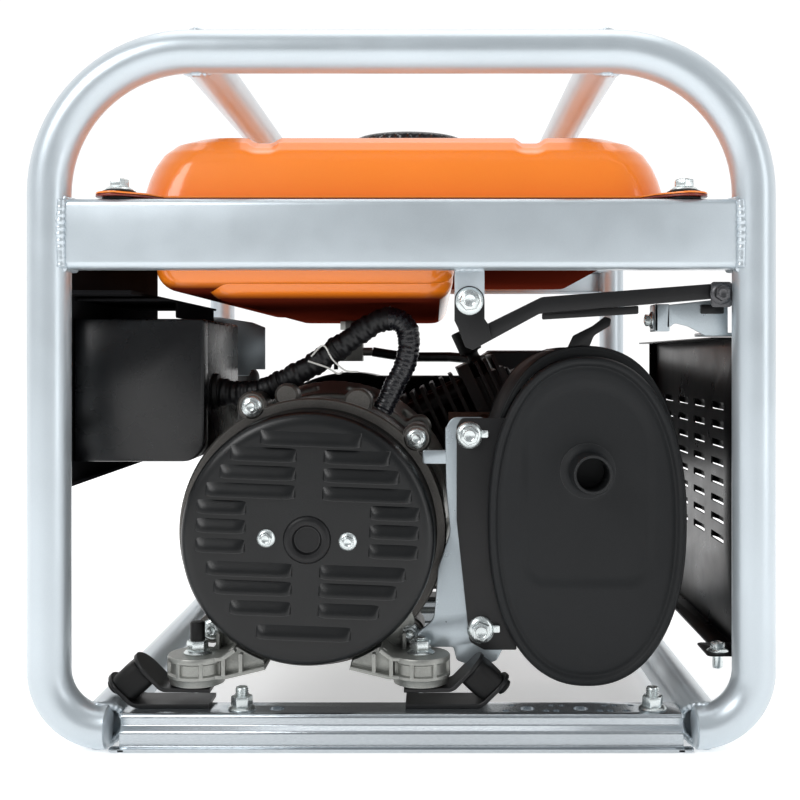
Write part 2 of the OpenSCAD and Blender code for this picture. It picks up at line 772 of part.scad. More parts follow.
module muffler_guard() {
    t = 1.2;
    y0 = guard_y[0];
    y1 = guard_y[1];
    color([0.07, 0.07, 0.08]) difference() {
        union() {
            box([guard_x, y0, guard_z[0]], [guard_x + t, y1, guard_z[1]]);
            box([guard_x - 5, y1 - t, guard_z[0]], [guard_x + t, y1, guard_z[1]]);
            box([guard_x - 14, y0, guard_z[1] - t], [guard_x + t, y1, guard_z[1]]);
            box([guard_x - 14, y0, guard_z[0]], [guard_x + t, y1, guard_z[0] + t]);
            box([guard_x - 21, y0 - 18, guard_z[0]], [guard_x + t, y0 + 14, guard_z[0] + t]);
        }
        translate([guard_bolt.x, guard_bolt.y, guard_z[0] - 1]) cylinder(h = t + 2, r = 3.3);
        for (y = guard_slot_y) for (k = [0 : guard_slot_rows - 1])
            box([guard_x - 1, y - guard_slot_l / 2, guard_slot_z + k * guard_slot_pitch],
                [guard_x + 3, y + guard_slot_l / 2, guard_slot_z + 4.5 + k * guard_slot_pitch]);
        translate([leg_x, -hoop_y, 0]) cylinder(h = frame_h, r = tube_r + gap);
    }
}

// The bent black channel that carries the guard's top from the hanger tab to the hoop leg
module guard_arm() {
    y0 = hanger_y + sheet + 0.3;
    depth = 14;
    color([0.1, 0.1, 0.11]) difference() {
        union() {
            xz(y0, y0 + 2) polygon([
                [31, 268], [49, 268], [50, 250], [86, 267], [leg_x - 14, 279], [leg_x - 14, 266],
                [84, 253], [44, 231], [32, 240]
            ]);
            xz(y0, y0 + depth) polygon([
                [50, 250], [86, 267], [leg_x - 14, 279], [leg_x - 14, 277], [86.5, 265], [51, 248]
            ]);
            xz(y0, y0 + depth) polygon([
                [44, 231], [84, 253], [leg_x - 14, 266], [leg_x - 14, 268], [83.5, 255], [43, 233]
            ]);
            box([arm_tab.x, y0 + depth - 0.5, 246], [arm_tab.x + 2, y0 + depth + 17, 262.5]);
            xz(y0 + depth - 0.5, y0 + depth + 1.5) polygon([
                [arm_tab.x, 246], [arm_tab.x + 7, 247], [164, 251], [172, 249], [182, 243.3], [196, 243.3],
                [196, 267], [arm_tab.x, 262.5]
            ]);
            box([182, y0 + depth, guard_z[1] + 0.3], [guard_x, y0 + depth + 30, guard_z[1] + 2.3]);
        }
        translate([arm_tab.x - 1, arm_tab.y, arm_tab.z]) rotate([0, 90, 0]) cylinder(h = 4, r = 2.8);
        y_disc(hanger_x, hanger_bolt_z, y0 - 1, y0 + 3, 4.3);
    }
}

// ---- fasteners ----

module bolt_along_y(x, y, z, d, shank) {
    translate([x, y, z]) rotate([90, 0, 0]) flange_bolt(d, shank);
}

module m8_fasteners() {
    color("gainsboro") {
        for (b = bracket_bolts) bolt_along_y(b.x, plate_y - 2.1, b.y, 8, 12);
        bolt_along_y(hanger_x, hanger_y - 0.1, hanger_bolt_z, 8, 12);
        at_tank_ears() translate([0, 0, seam_z + 2.6]) flange_bolt(8, 16);
        for (m = mount_spots) {
            translate([axis_x + m[1] * foot_dx, m[0], foot_z + foot_h + 0.1]) flange_nut(8, 8);
            translate([axis_x + m[1] * foot_dx, m[0], 27]) cylinder(h = foot_z + foot_h - 26, d = 8);
        }
        for (x = base_bolt_x) translate([x, front_rail_y - trolley_hole_y, 0]) {
            translate([0, 0, base_top_z + 0.1]) flange_nut(8, 5);
            translate([0, 0, 8]) cylinder(h = base_top_z - 7, d = 8);
            translate([0, 0, 8]) cylinder(h = 6, d = 13, $fn = 6);
        }
    }
}

module m6_flange_bolts() {
    color("gainsboro") {
        for (s = [-1, 1])
            bolt_along_y(axis_x + s * cover_bolt_x * cos(cover_turn), cover_y - 0.1,
                axis_z - s * cover_bolt_x * sin(cover_turn), 5, 12);
        at_ears() translate([0, bracket_y - 0.1, 0]) rotate([90, 0, 0]) flange_bolt(6, 135);
        translate([guard_bolt.x, guard_bolt.y, guard_z[0] + 1.3]) flange_bolt(6, 10);
        translate([arm_tab.x - 0.1, arm_tab.y, arm_tab.z]) rotate([0, -90, 0]) flange_bolt(5, 8);
        translate([panel_x + 3.1, panel_bolt.x, panel_bolt.y]) rotate([0, 90, 0]) flange_bolt(6, 6);
    }
}

// ---- controls ----

module control_panel() {
    color([0.09, 0.09, 0.1]) difference() {
        union() {
            box([panel_x, panel_y[0], panel_z[0]], [panel_x + 3, panel_y[1], panel_z[1]]);
            box([panel_x, panel_y[0], shelf_z - 2.5], [panel_x + 46, panel_y[1], shelf_z]);
            box([panel_x, panel_y[0], panel_z[1] - 2.5], [panel_x + 12, panel_y[1], panel_z[1]]);
            box([panel_x, panel_y[0], panel_z[0]], [panel_x + 8, panel_y[1], panel_z[0] + 2.5]);
            box([panel_x, panel_y[0] - 20, 164], [panel_x + 3, panel_y[0] + 2, 178]);
        }
        for (y = outlet_spots) translate([panel_x - 1, y, panel_mid_z]) rotate([0, 90, 0]) cylinder(h = 6, r = 21.3);
        translate([panel_x - 1, meter_spot.x, meter_spot.y]) rotate([0, 90, 0]) cylinder(h = 6, r = 19.3);
        translate([leg_x * -1, -hoop_y, 0]) cylinder(h = frame_h, r = tube_r + gap);
        translate([panel_x - 1, breaker_spot.x, breaker_spot.y]) rotate([0, 90, 0]) cylinder(h = 6, r = 6.4);
        translate([panel_x - 1, panel_bolt.x, panel_bolt.y]) rotate([0, 90, 0]) cylinder(h = 6, r = 3.3);
        box([panel_x - 1, rocker_y - 8.3, rocker_z - 14.5], [panel_x + 4, rocker_y + 8.3, rocker_z + 14.5]);
    }
}

module control_box() {
    wall = 2;
    color([0.16, 0.16, 0.17]) difference() {
        union() {
            box([box_x[0], box_y[0], box_z[0]], [box_x[1] - 14, box_y[1], box_z[1]]);
            box([box_x[0], box_y[0], box_z[0] + 14], [box_x[1], box_y[1], box_z[1]]);
            y_disc(box_x[1] - 14, box_z[0] + 14, box_y[0], box_y[1], 14);
        }
        box([box_x[0] - 1, box_y[0] + wall, box_z[0] + wall], [box_x[1] - 14, box_y[1] - wall, box_z[1] - wall]);
        box([box_x[0] - 1, box_y[0] + wall, box_z[0] + 14], [box_x[1] - wall, box_y[1] - wall, box_z[1] - wall]);
        y_disc(box_x[1] - 14, box_z[0] + 14, box_y[0] + wall, box_y[1] - wall, 12);
    }
}

module panel_bracket() {
    color("darkgray") {
        xz(-50, -48) polygon([
            [-166, 262], [-166, 216], [-127, 216], [-125, 221], [-114, 221], [-114, 254], [-124, 258], [-150, 262]
        ]);
        box([-210.6, -50, 219], [-165, -48, 234]);
        box([-166, -78, 216], [-164, -48, 262]);
    }
}

// One round recessed socket, mouth towards -X
module socket(y) {
    translate([panel_x, y, panel_mid_z]) rotate([0, 90, 0]) difference() {
        union() {
            translate([0, 0, -3]) cylinder(h = 2.9, r = 25);
            translate([0, 0, -1]) cylinder(h = 26, r = 21);
        }
        translate([0, 0, -4]) cylinder(h = 18, r = 18.5);
        for (s = [-1, 1]) translate([0, s * 9.5, 0]) cylinder(h = 22, r = 2.6);
    }
}

module ac_outlets() {
    color([0.2, 0.25, 0.45]) for (y = outlet_spots) socket(y);
}

module voltmeter() {
    color("white") translate([panel_x, meter_spot.x, meter_spot.y]) rotate([0, 90, 0]) {
        translate([0, 0, -3]) cylinder(h = 2.9, r = 23);
        translate([0, 0, -1]) cylinder(h = 24, r = 19);
    }
}

module terminals() {
    color("goldenrod") for (t = terminal_spots) translate([panel_x, t.x, t.y]) rotate([0, -90, 0]) {
        translate([0, 0, 0.1]) cylinder(h = 1.6, r = 6);
        translate([0, 0, 0.1]) cylinder(h = 5.4, r = 2.5);
        translate([0, 0, 2]) cylinder(h = 2.6, r = 4.6, $fn = 6);
    }
}

// A rocker that turns about a pin behind the panel, shown tilted to its off side
module engine_switch() {
    color("red") translate([panel_x + rocker_depth, rocker_y + 8, rocker_z]) rotate([90, 0, 0])
        rotate(rocker_tilt) difference() {
            intersection() {
                cylinder(h = 16, r = 17.5);
                translate([-20, -11.4, -1]) cube([19, 22.8, 18]);
            }
            translate([0, 0, -1]) cylinder(h = 18, r = 10.5);
        }
}

module breaker_button() {
    color("black") translate([panel_x, breaker_spot.x, breaker_spot.y]) rotate([0, 90, 0]) {
        translate([0, 0, -5]) cylinder(h = 12, r = 6.2);
    }
}

module wiring_harness() {
    color([0.06, 0.06, 0.06]) swept_tube(harness_route, harness_d);
}

// ---- engine ----

// Places children in the cylinder's own frame: +X runs out along the bore from the crankshaft
module along_bore() {
    translate([axis_x, 0, axis_z]) rotate([0, -cylinder_lean, 0]) children();
}

// A round bar along the bore from a to b
module bore_disc(a, b, r) {
    translate([a, 0, 0]) rotate([0, 90, 0]) cylinder(h = b - a, r = r);
}

case_low = 45;
foot_x = 84;
foot_span = [back_rail_y - 33, back_rail_y + 2];
oil_foot = [axis_x - 52, 52, 78];
oil_top = [axis_x - 79, 52, 92];
oil_dir = unit(oil_top - oil_foot);

module crankcase() {
    color([0.55, 0.55, 0.56]) difference() {
        union() {
            y_disc(axis_x, axis_z, case_y[0], case_y[1], case_r);
            box([axis_x - 62, case_y[0], case_low], [axis_x + 62, case_y[1], axis_z]);
            box([axis_x - foot_x, foot_span[0], foot_z], [axis_x + foot_x, foot_span[1], foot_z + foot_h]);
            along_bore() bore_disc(40, 74.8, 50);
            rod(oil_foot, oil_top, 26);
        }
        y_disc(axis_x, axis_z, case_y[0] + 19, case_y[1] - 19, 60);
        along_bore() bore_disc(10, 80, 40);
        y_disc(axis_x, axis_z, engine_y + 5.9, engine_y + 20, 26 + run_gap);
        y_disc(axis_x, axis_z, case_y[1] - 20, case_y[1] - 5.9, 26 + run_gap);
        y_disc(axis_x, axis_z, case_y[0] - 1, case_y[1] + 1, shaft_r + 2);
        box([axis_x - 50, case_y[0] + 19, case_low + 6], [axis_x + 50, case_y[1] - 19, axis_z]);
        for (m = mount_spots) translate([axis_x + m[1] * foot_dx, m[0], foot_z - 1]) cylinder(h = foot_h + 2, r = 4.6);
        for (m = mount_spots) translate([axis_x + m[1] * foot_dx, m[0], foot_z + foot_h]) cylinder(h = 30, r = 11);
        rod(oil_top - 21 * oil_dir, oil_top + 2 * oil_dir, 16);
    }
}

module cylinder_block() {
    color([0.3, 0.28, 0.27]) along_bore() difference() {
        union() {
            bore_disc(75, deck, bore_d / 2 + 7);
            for (k = [0 : 5]) box([77 + k * 8.5, fin_y[0] + 2, -50], [80 + k * 8.5, fin_y[1] - 2, 50]);
            for (y = [-42, 42]) for (z = [-36, 36]) translate([75, y, z]) rotate([0, 90, 0]) cylinder(h = deck - 75, r = 7);
        }
        bore_disc(74, deck + 1, bore_d / 2);
    }
}

module cylinder_head() {
    d0 = deck + 0.2;
    color([0.33, 0.31, 0.3]) along_bore() difference() {
        union() {
            box([d0, fin_y[0], -52], [d0 + 9, fin_y[1], 52]);
            box([d0 + 1, fin_y[0] + 12, -38], [d0 + 34, fin_y[1] - 12, 38]);
            for (k = [1 : 3]) box([d0 + 7 + k * 7, fin_y[0] + 1, -50], [d0 + 9.6 + k * 7, fin_y[1] - 1, 50]);
        }
        translate([d0 + 17, 0, 28]) cylinder(h = 40, r = 11);
        bore_disc(d0 - 1, d0 + 5, bore_d / 2 - 4);
    }
}

module valve_cover() {
    d0 = deck + 34.4;
    color([0.1, 0.1, 0.1]) along_bore() {
        box([d0, -42, -36], [d0 + 3, 44, 36]);
        box([d0 + 2, -36, -30], [d0 + 18, 38, 30]);
        for (y = [-32, 34]) for (z = [-26, 26]) translate([d0 + 3, y, z]) rotate([0, 90, 0]) cylinder(h = 4, r = 5.5, $fn = 6);
    }
}

module spark_plug() {
    x = deck + 17.2;
    color([0.07, 0.07, 0.07]) along_bore() {
        translate([x, 0, 28.2]) cylinder(h = 24, r = 9, $fn = 6);
        translate([x, 0, 52]) cylinder(h = 12, r = 5);
        translate([x, 0, 58]) cylinder(h = 20, r = 9.5);
        translate([x, 0, 66]) rotate([0, 75, 0]) cylinder(h = 20, r = 6.5);
    }
}

module carburettor() {
    color("darkgray") {
        box([60, fin_y[1] + 3, 152], [104, fin_y[1] + 8, 196]);
        rod([82, fin_y[1] + 7, 176], [82, 100, 176], 34);
        rod([82, 82, 148], [82, 82, 176], 36);
        rod([79, 89, 185], [79, 92, 204], 12);
    }
}

cleaner = [[60, 100.4, 132], [186, 176, 236]];

module air_cleaner() {
    a = cleaner[0];
    b = cleaner[1];
    r = 12;
    color([0.08, 0.08, 0.08]) difference() {
        union() {
            box([a.x + r, a.y, a.z], [b.x - r, b.y, b.z]);
            box([a.x, a.y, a.z + r], [b.x, b.y, b.z - r]);
            for (x = [a.x + r, b.x - r]) for (z = [a.z + r, b.z - r]) y_disc(x, z, a.y, b.y, r);
            box([a.x + 8, a.y + 44, a.z - 1.5], [b.x - 8, a.y + 47, b.z + 1.5]);
        }
        box([a.x + 4, a.y + 3, a.z + 8], [b.x - 4, b.y - 3, b.z - 8]);
    }
}

module fan_housing() {
    wall = 2;
    color([0.1, 0.1, 0.1]) difference() {
        union() {
            y_disc(axis_x, axis_z, fan_y[0], fan_y[1], fan_r);
            box([axis_x + 10, fan_y[0] + 0.5, axis_z], [duct_x, fan_y[0] + 33, duct_z]);
        }
        y_disc(axis_x, axis_z, fan_y[0] - 1, fan_y[1] - wall, fan_r - wall);
        box([axis_x + 12, fan_y[0] - 1, axis_z + 2], [duct_x - wall, fan_y[0] + 33 - wall, duct_z - wall]);
        y_disc(axis_x, axis_z, fan_y[1] - 5, fan_y[1] + 1, 64);
    }
}

module recoil_housing() {
    wall = 2;
    color([0.1, 0.1, 0.1]) difference() {
        union() {
            y_disc(axis_x, axis_z, recoil_y[0], recoil_y[1] - 8, recoil_r);
            translate([axis_x, recoil_y[1] - 8, axis_z]) rotate([-90, 0, 0]) cylinder(h = 8, r1 = recoil_r, r2 = recoil_r - 10);
            box([axis_x - 86, reel_y - 10, rope_z - 10], [axis_x - 60, reel_y + 10, rope_z + 10]);
        }
        y_disc(axis_x, axis_z, recoil_y[0] - 1, recoil_y[1] - 8, recoil_r - wall - 4);
        y_disc(axis_x, axis_z, recoil_y[1] - 9, recoil_y[1] - wall, recoil_r - 13);
        rod([axis_x - 90, reel_y, rope_z], [axis_x - 40, reel_y, rope_z], 9);
        for (a = [0 : 30 : 330]) translate([axis_x, 0, axis_z]) rotate([0, a, 0])
            box([-3.5, recoil_y[1] - 6, 28], [3.5, recoil_y[1] + 1, 66]);
    }
    color("gray") y_disc(axis_x, axis_z, reel_y - 10, recoil_y[1] - wall + 0.5, 7.5);
}

module crankshaft() {
    color("slategray") {
        y_disc(axis_x, axis_z, engine_y - 4, -14, shaft_r);
        y_disc(axis_x, axis_z, -25, -12, web_r);
        y_disc(axis_x, axis_z, 14, fan_y[0] + 40, shaft_r);
        y_disc(axis_x, axis_z, 12, 25, web_r);
        translate([stroke / 2, 0, 0]) y_disc(axis_x, axis_z, -13, 13, 15);
    }
}

module rotor() {
    color("sienna") {
        y_disc(axis_x, axis_z, stator_y + 2, stator_y + stator_l - 2, rotor_d / 2);
        y_disc(axis_x, axis_z, -268, bracket_y + 16, 8.5);
        y_disc(axis_x, axis_z, bracket_y + 16, engine_y - 4.2, shaft_r);
        y_disc(axis_x, axis_z, -262, bracket_y - 2, 11.5);
        y_disc(axis_x, axis_z, adapter_y + 15, adapter_y + 18, 66);
        for (a = [0 : 30 : 330]) translate([axis_x, 0, axis_z]) rotate([0, a, 0])
            box([-1.5, adapter_y + 16, 20], [1.5, adapter_y + 31, 66]);
    }
}

module flywheel_fan() {
    y0 = fan_y[0] + 5;
    color("dimgray") {
        y_disc(axis_x, axis_z, y0, y0 + 20, 82, shaft_r + run_gap);
        y_disc(axis_x, axis_z, y0 + 19, y0 + 23, 62, shaft_r + run_gap);
        for (a = [0 : 24 : 336]) translate([axis_x, 0, axis_z]) rotate([0, a, 0])
            box([-1.6, y0 + 19, 44], [1.6, y0 + 42, 84]);
        difference() {
            y_disc(axis_x, axis_z, y0 + 22, y0 + 52, 32);
            y_disc(axis_x, axis_z, y0 + 36, y0 + 53, 29);
            y_disc(axis_x, axis_z, y0 + 20, y0 + 36.5, shaft_r + run_gap);
        }
        y_disc(axis_x, axis_z, y0 + 35.4, y0 + 38, 20);
    }
}

module recoil_reel() {
    color("darkslategray") difference() {
        union() {
            y_disc(axis_x, axis_z, reel_y - 8, reel_y - 5, reel_r + 6);
            y_disc(axis_x, axis_z, reel_y - 6, reel_y + 6, reel_r - 4);
            y_disc(axis_x, axis_z, reel_y + 5, reel_y + 8, reel_r + 6);
            y_disc(axis_x, axis_z, reel_y - 20, reel_y - 7, 24);
        }
        y_disc(axis_x, axis_z, reel_y - 10.5, reel_y + 9, 7.5 + run_gap);
        translate([axis_x, 0, axis_z]) rotate([0, 40, 0]) box([-3, reel_y - 9, 26], [3, reel_y + 9, 38]);
    }
}

module pull_handle() {
    color([0.06, 0.06, 0.06]) difference() {
        union() {
            translate([handle_x, reel_y, rope_z - 45]) cylinder(h = 90, r = 11);
            for (s = [-1, 1]) translate([handle_x, reel_y, rope_z + s * 45]) sphere(r = 11);
            translate([handle_x, reel_y, rope_z]) rotate([0, 90, 0]) cylinder(h = 17, r1 = 10, r2 = 7);
        }
        rod([handle_x - 1, reel_y, rope_z], [handle_x + 30, reel_y, rope_z], rope_d);
    }
}

module starter_rope() {
    color("whitesmoke") rod([handle_x, reel_y, rope_z], [axis_x - 46, reel_y, rope_z], rope_d - 0.1);
}

tap_x = -60;
tap_y = 152;

module fuel_tap() {
    z = seam_z - tank_drop;
    color("silver") {
        translate([tap_x, tap_y, z - 12]) cylinder(h = 20, r = 5.8);
        translate([tap_x, tap_y, z - 8.2]) cylinder(h = 8, r = 11, $fn = 6);
        box([tap_x - 11, tap_y - 9, z - 38], [tap_x + 11, tap_y + 9, z - 11]);
        rod([tap_x + 10, tap_y, z - 29], [tap_x + 19.8, tap_y, z - 29], 8);
    }
}

module oil_cap() {
    color([0.1, 0.1, 0.1]) {
        rod(oil_top + 0.2 * oil_dir, oil_top + 13 * oil_dir, 24);
        rod(oil_top + 12 * oil_dir, oil_top + 21 * oil_dir, 14, 6);
        rod(oil_top - 20 * oil_dir, oil_top + oil_dir, 15.85);
    }
}

module fuel_tap_lever() {
    z = seam_z - tank_drop - 24;
    color([0.1, 0.1, 0.1]) {
        rod([tap_x - 11.3, tap_y, z], [tap_x - 17, tap_y, z], 16);
        box([tap_x - 17, tap_y - 3, z - 22], [tap_x - 13, tap_y + 3, z + 4]);
    }
}

module fuel_hose() {
    color([0.06, 0.06, 0.06]) swept_tube(hose_route, hose_d, 10);
}

module choke_lever() {
    x = 100.3;
    color("gainsboro") {
        rod([x, choke_pivot.x, choke_pivot.y], [x + 6, choke_pivot.x, choke_pivot.y], 10);
        box([x + 5.2, choke_pivot.x - 3.5, choke_pivot.y - 3], [x + 7.7, choke_pivot.x + 3.5, choke_pivot.y + 32]);
        rod([x + 7, choke_pivot.x, choke_pivot.y + 28], [x + 15, choke_pivot.x, choke_pivot.y + 28], 9);
    }
}

// ---- nodes ----

hoop(-hoop_y);  // front_hoop
hoop(hoop_y);  // rear_hoop
side_tubes(base_tube_gap, tube_r);  // base_side_tubes
side_tubes(top_tube_gap, top_z);  // top_side_tubes
front_tank_rail();
rear_tank_rail();
front_base_rail();
rear_base_rail();
tank_upper_shell();
tank_lower_shell();
tank_washers();
alternator_end_cover();
alternator_end_bracket();
stator_core();
stator_windings();
engine_adapter();
brush_holder();
bearings();
mount_brackets();
mount_rubbers();
m8_fasteners();
m6_flange_bolts();
muffler_shell();
muffler_outlet();
muffler_bracket();
muffler_side_plate();
muffler_top_shield();
muffler_guard();
guard_arm();
exhaust_pipe();
control_panel();
control_box();
panel_bracket();
ac_outlets();
voltmeter();
terminals();
wiring_harness();
crankcase();
cylinder_block();
cylinder_head();
valve_cover();
spark_plug();
carburettor();
air_cleaner();
fan_housing();
recoil_housing();
fuel_tap();
fuel_hose();
crankshaft();
rotor();
flywheel_fan();
recoil_reel();
pull_handle();
starter_rope();
fuel_cap();
fuel_tap_lever();
choke_lever();
engine_switch();
breaker_button();
oil_cap();
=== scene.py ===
"""Looks of the open-frame portable generator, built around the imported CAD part.

Sizes are in millimetres in the row's frame, and mesh() turns them into metres. A shape is a pair
(points, faces) until mesh() makes it a piece. Places come from the CAD nodes' boxes.
"""

import json
import math

import bmesh
import bpy
import numpy as np
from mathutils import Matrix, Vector

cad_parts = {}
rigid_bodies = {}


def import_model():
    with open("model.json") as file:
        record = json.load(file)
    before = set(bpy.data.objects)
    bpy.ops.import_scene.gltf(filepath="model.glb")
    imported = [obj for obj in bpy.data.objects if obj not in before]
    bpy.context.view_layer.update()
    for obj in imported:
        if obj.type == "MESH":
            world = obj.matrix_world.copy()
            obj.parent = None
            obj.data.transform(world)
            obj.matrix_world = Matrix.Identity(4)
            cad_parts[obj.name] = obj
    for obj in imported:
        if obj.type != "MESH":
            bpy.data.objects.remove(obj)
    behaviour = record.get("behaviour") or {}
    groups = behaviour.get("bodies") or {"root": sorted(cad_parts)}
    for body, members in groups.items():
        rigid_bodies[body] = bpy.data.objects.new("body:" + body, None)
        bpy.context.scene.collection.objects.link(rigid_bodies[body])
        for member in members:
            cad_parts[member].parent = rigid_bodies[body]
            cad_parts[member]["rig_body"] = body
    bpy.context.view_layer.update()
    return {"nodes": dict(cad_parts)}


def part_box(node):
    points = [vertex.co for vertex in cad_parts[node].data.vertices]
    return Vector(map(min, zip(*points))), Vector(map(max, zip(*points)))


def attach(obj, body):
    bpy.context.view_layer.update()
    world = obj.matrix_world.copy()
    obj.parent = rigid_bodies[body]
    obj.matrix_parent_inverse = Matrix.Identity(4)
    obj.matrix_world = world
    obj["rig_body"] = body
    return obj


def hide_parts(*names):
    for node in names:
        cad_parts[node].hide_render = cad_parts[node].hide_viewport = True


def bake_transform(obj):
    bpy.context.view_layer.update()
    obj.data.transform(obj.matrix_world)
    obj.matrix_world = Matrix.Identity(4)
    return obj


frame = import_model()
MM = 0.001

# ---------------------------------------------------------------- shapes


def vec(*v):
    return np.array(v, float)


def unit(v):
    return np.asarray(v, float) / np.linalg.norm(v)


def lengths(p):
    """How far along a path each of its points is."""
    return np.concatenate([[0], np.cumsum(np.linalg.norm(np.diff(p, axis=0), axis=1))])


def tangents(p):
    d = np.gradient(p, axis=0)
    return d / np.linalg.norm(d, axis=1)[:, None]


def normals(p):
    """The left-hand normals of a path in a plane."""
    d = tangents(p)
    return np.column_stack([-d[:, 1], d[:, 0]])


def join(*shapes):
    """Several shapes as one."""
    points, faces, n = [], [], 0
    for p, f in shapes:
        points.append(np.asarray(p, float))
        faces += [tuple(i + n for i in face) for face in f]
        n += len(p)
    return np.vstack(points), faces


def move(shape, x=0, y=0, z=0):
    return shape[0] + vec(x, y, z), shape[1]


def turn(shape, axis, degrees, about=(0, 0, 0)):
    """The shape turned about a row axis, by the right-hand rule."""
    a = math.radians(degrees)
    i, j = {"x": (1, 2), "y": (2, 0), "z": (0, 1)}[axis]
    p = shape[0] - vec(*about)
    q = p.copy()
    q[:, i] = math.cos(a) * p[:, i] - math.sin(a) * p[:, j]
    q[:, j] = math.sin(a) * p[:, i] + math.cos(a) * p[:, j]
    return q + vec(*about), shape[1]


def mirror(shape, axis):
    q = shape[0].copy()
    q[:, "xyz".index(axis)] *= -1
    return q, [tuple(reversed(f)) for f in shape[1]]


def facing(shape, direction):
    """The shape with its +Z turned to a direction."""
    d = unit(direction)
    side = unit(np.cross(d, (0, 1, 0) if abs(d[1]) < 0.9 else (0, 0, 1)))
    basis = np.array([side, np.cross(d, side), d])
    return shape[0] @ basis, shape[1]


def loft(rings, around=True, start=True, end=True):
    """A skin through rings of equally many points, with flat ends."""
    n, m = len(rings[0]), len(rings)
    points = np.vstack(rings)
    faces = []
    for i in range(m - 1):
        for k in range(n if around else n - 1):
            a, b = i * n + k, i * n + (k + 1) % n
            faces.append((a, b, b + n, a + n))
    if start:
        faces.append(tuple(range(n - 1, -1, -1)))
    if end:
        faces.append(tuple(range((m - 1) * n, m * n)))
    return points, faces


def lathe(profile, n=48, ribs=0, depth=0.0, rib_span=None):
    """A turned solid about Z, from (radius, height) pairs. Ribs are cut round the heights in rib_span."""
    a = np.linspace(0, 2 * math.pi, n, endpoint=False)
    rings = []
    for r, h in profile:
        radius = np.full(n, float(r))
        if ribs and rib_span[0] <= h <= rib_span[1]:
            radius -= depth * (0.5 - 0.5 * np.cos(ribs * a)) ** 2
        rings.append(np.column_stack([radius * np.cos(a), radius * np.sin(a), np.full(n, float(h))]))
    return loft(rings)


def corner_arc(before, corner, after, radius, steps):
    """The points that round off one corner."""
    u, v = unit(before - corner), unit(after - corner)
    half = math.acos(np.clip(u @ v, -1, 1)) / 2
    reach = radius / math.tan(half)
    centre = corner + unit(u + v) * radius / math.sin(half)
    a, b = corner + u * reach - centre, corner + v * reach - centre
    whole = math.pi - 2 * half
    return [centre + (math.sin((1 - t) * whole) * a + math.sin(t * whole) * b) / math.sin(whole)
            for t in np.linspace(0, 1, steps + 1)]


def above(base, *pairs):
    """(radius, height) pairs whose heights count from a base."""
    return [(r, base + h) for r, h in pairs]


def handed(shape, plain):
    """A shape as it is, or mirrored across the YZ plane."""
    return shape if plain else mirror(shape, "x")


def round_path(corners, bend, steps=10):
    """A path through corners, each rounded to its bend radius."""
    c = [vec(*p) for p in corners]
    bends = [bend] * (len(c) - 2) if np.isscalar(bend) else bend
    path = [c[0]]
    for before, corner, after, radius in zip(c, c[1:], c[2:], bends):
        path += corner_arc(before, corner, after, radius, steps)
    return np.array(path + [c[-1]])


def smooth_path(points, n=60):
    """A Catmull-Rom curve through points, cut into n equal lengths."""
    p = np.array(points, float)
    p = np.vstack([2 * p[0] - p[1], p, 2 * p[-1] - p[-2]])
    fine = []
    for i in range(1, len(p) - 2):
        for t in np.linspace(0, 1, 16, endpoint=False):
            a, b, c, d = p[i - 1 : i + 3]
            curve = 2 * b + (c - a) * t + (2 * a - 5 * b + 4 * c - d) * t**2 + (3 * b - a - 3 * c + d) * t**3
            fine.append(0.5 * curve)
    fine = np.array(fine + [p[-2]])
    s = lengths(fine)
    return np.column_stack([np.interp(np.linspace(0, s[-1], n), s, fine[:, k]) for k in range(3)])


def bar(path, radius, n=24, outline=None):
    """Rings round a path. radius is one number or one for each point; outline replaces the circle."""
    p = np.array(path, float)
    t = tangents(p)
    side = np.cross(t[0], (0, 1, 0) if abs(t[0][1]) < 0.9 else (0, 0, 1))
    radius = np.broadcast_to(np.asarray(radius, float), (len(p),))
    a = np.linspace(0, 2 * math.pi, n, endpoint=False)
    flat = np.column_stack([np.cos(a), np.sin(a)]) if outline is None else np.array(outline, float)
    rings = []
    for c, d, r in zip(p, t, radius):
        side = unit(side - (side @ d) * d)
        up = np.cross(d, side)
        rings.append(c + r * (flat[:, :1] * side + flat[:, 1:] * up))
    return rings


def sweep(path, radius, n=24, outline=None):
    """A solid bar along a path."""
    return loft(bar(path, radius, n, outline))


def pipe(path, r, wall, n=32, depth=14):
    """A tube along a path, open for some depth at each end."""
    p = np.array(path, float)
    rings = bar(p, r, n)
    share = (r - wall) / r

    def mouth(ring, centre, inwards):
        bore = centre + (ring - centre) * share
        return [bore + unit(inwards) * depth, bore + unit(inwards) * 0.8, centre + (ring - centre) * (1 + share) / 2]

    first = mouth(rings[0], p[0], p[1] - p[0])
    last = mouth(rings[-1], p[-1], p[-2] - p[-1])
    return loft(first + rings + last[::-1])


def folded(corners, bend, t, x0, x1, plane="yz", edge=0.3):
    """A sheet of thickness t folded along a profile, running from x0 to x1."""
    p = round_path([(a, b, 0) for a, b in corners], bend, 6)[:, :2]
    n = normals(p)
    return prism(np.vstack([p + n * t / 2, (p - n * t / 2)[::-1]]), x0, x1, edge, plane)


def step(x, a, b):
    """Rises smoothly from 0 at a to 1 at b."""
    t = np.clip((np.asarray(x, float) - a) / (b - a), 0, 1)
    return t * t * (3 - 2 * t)


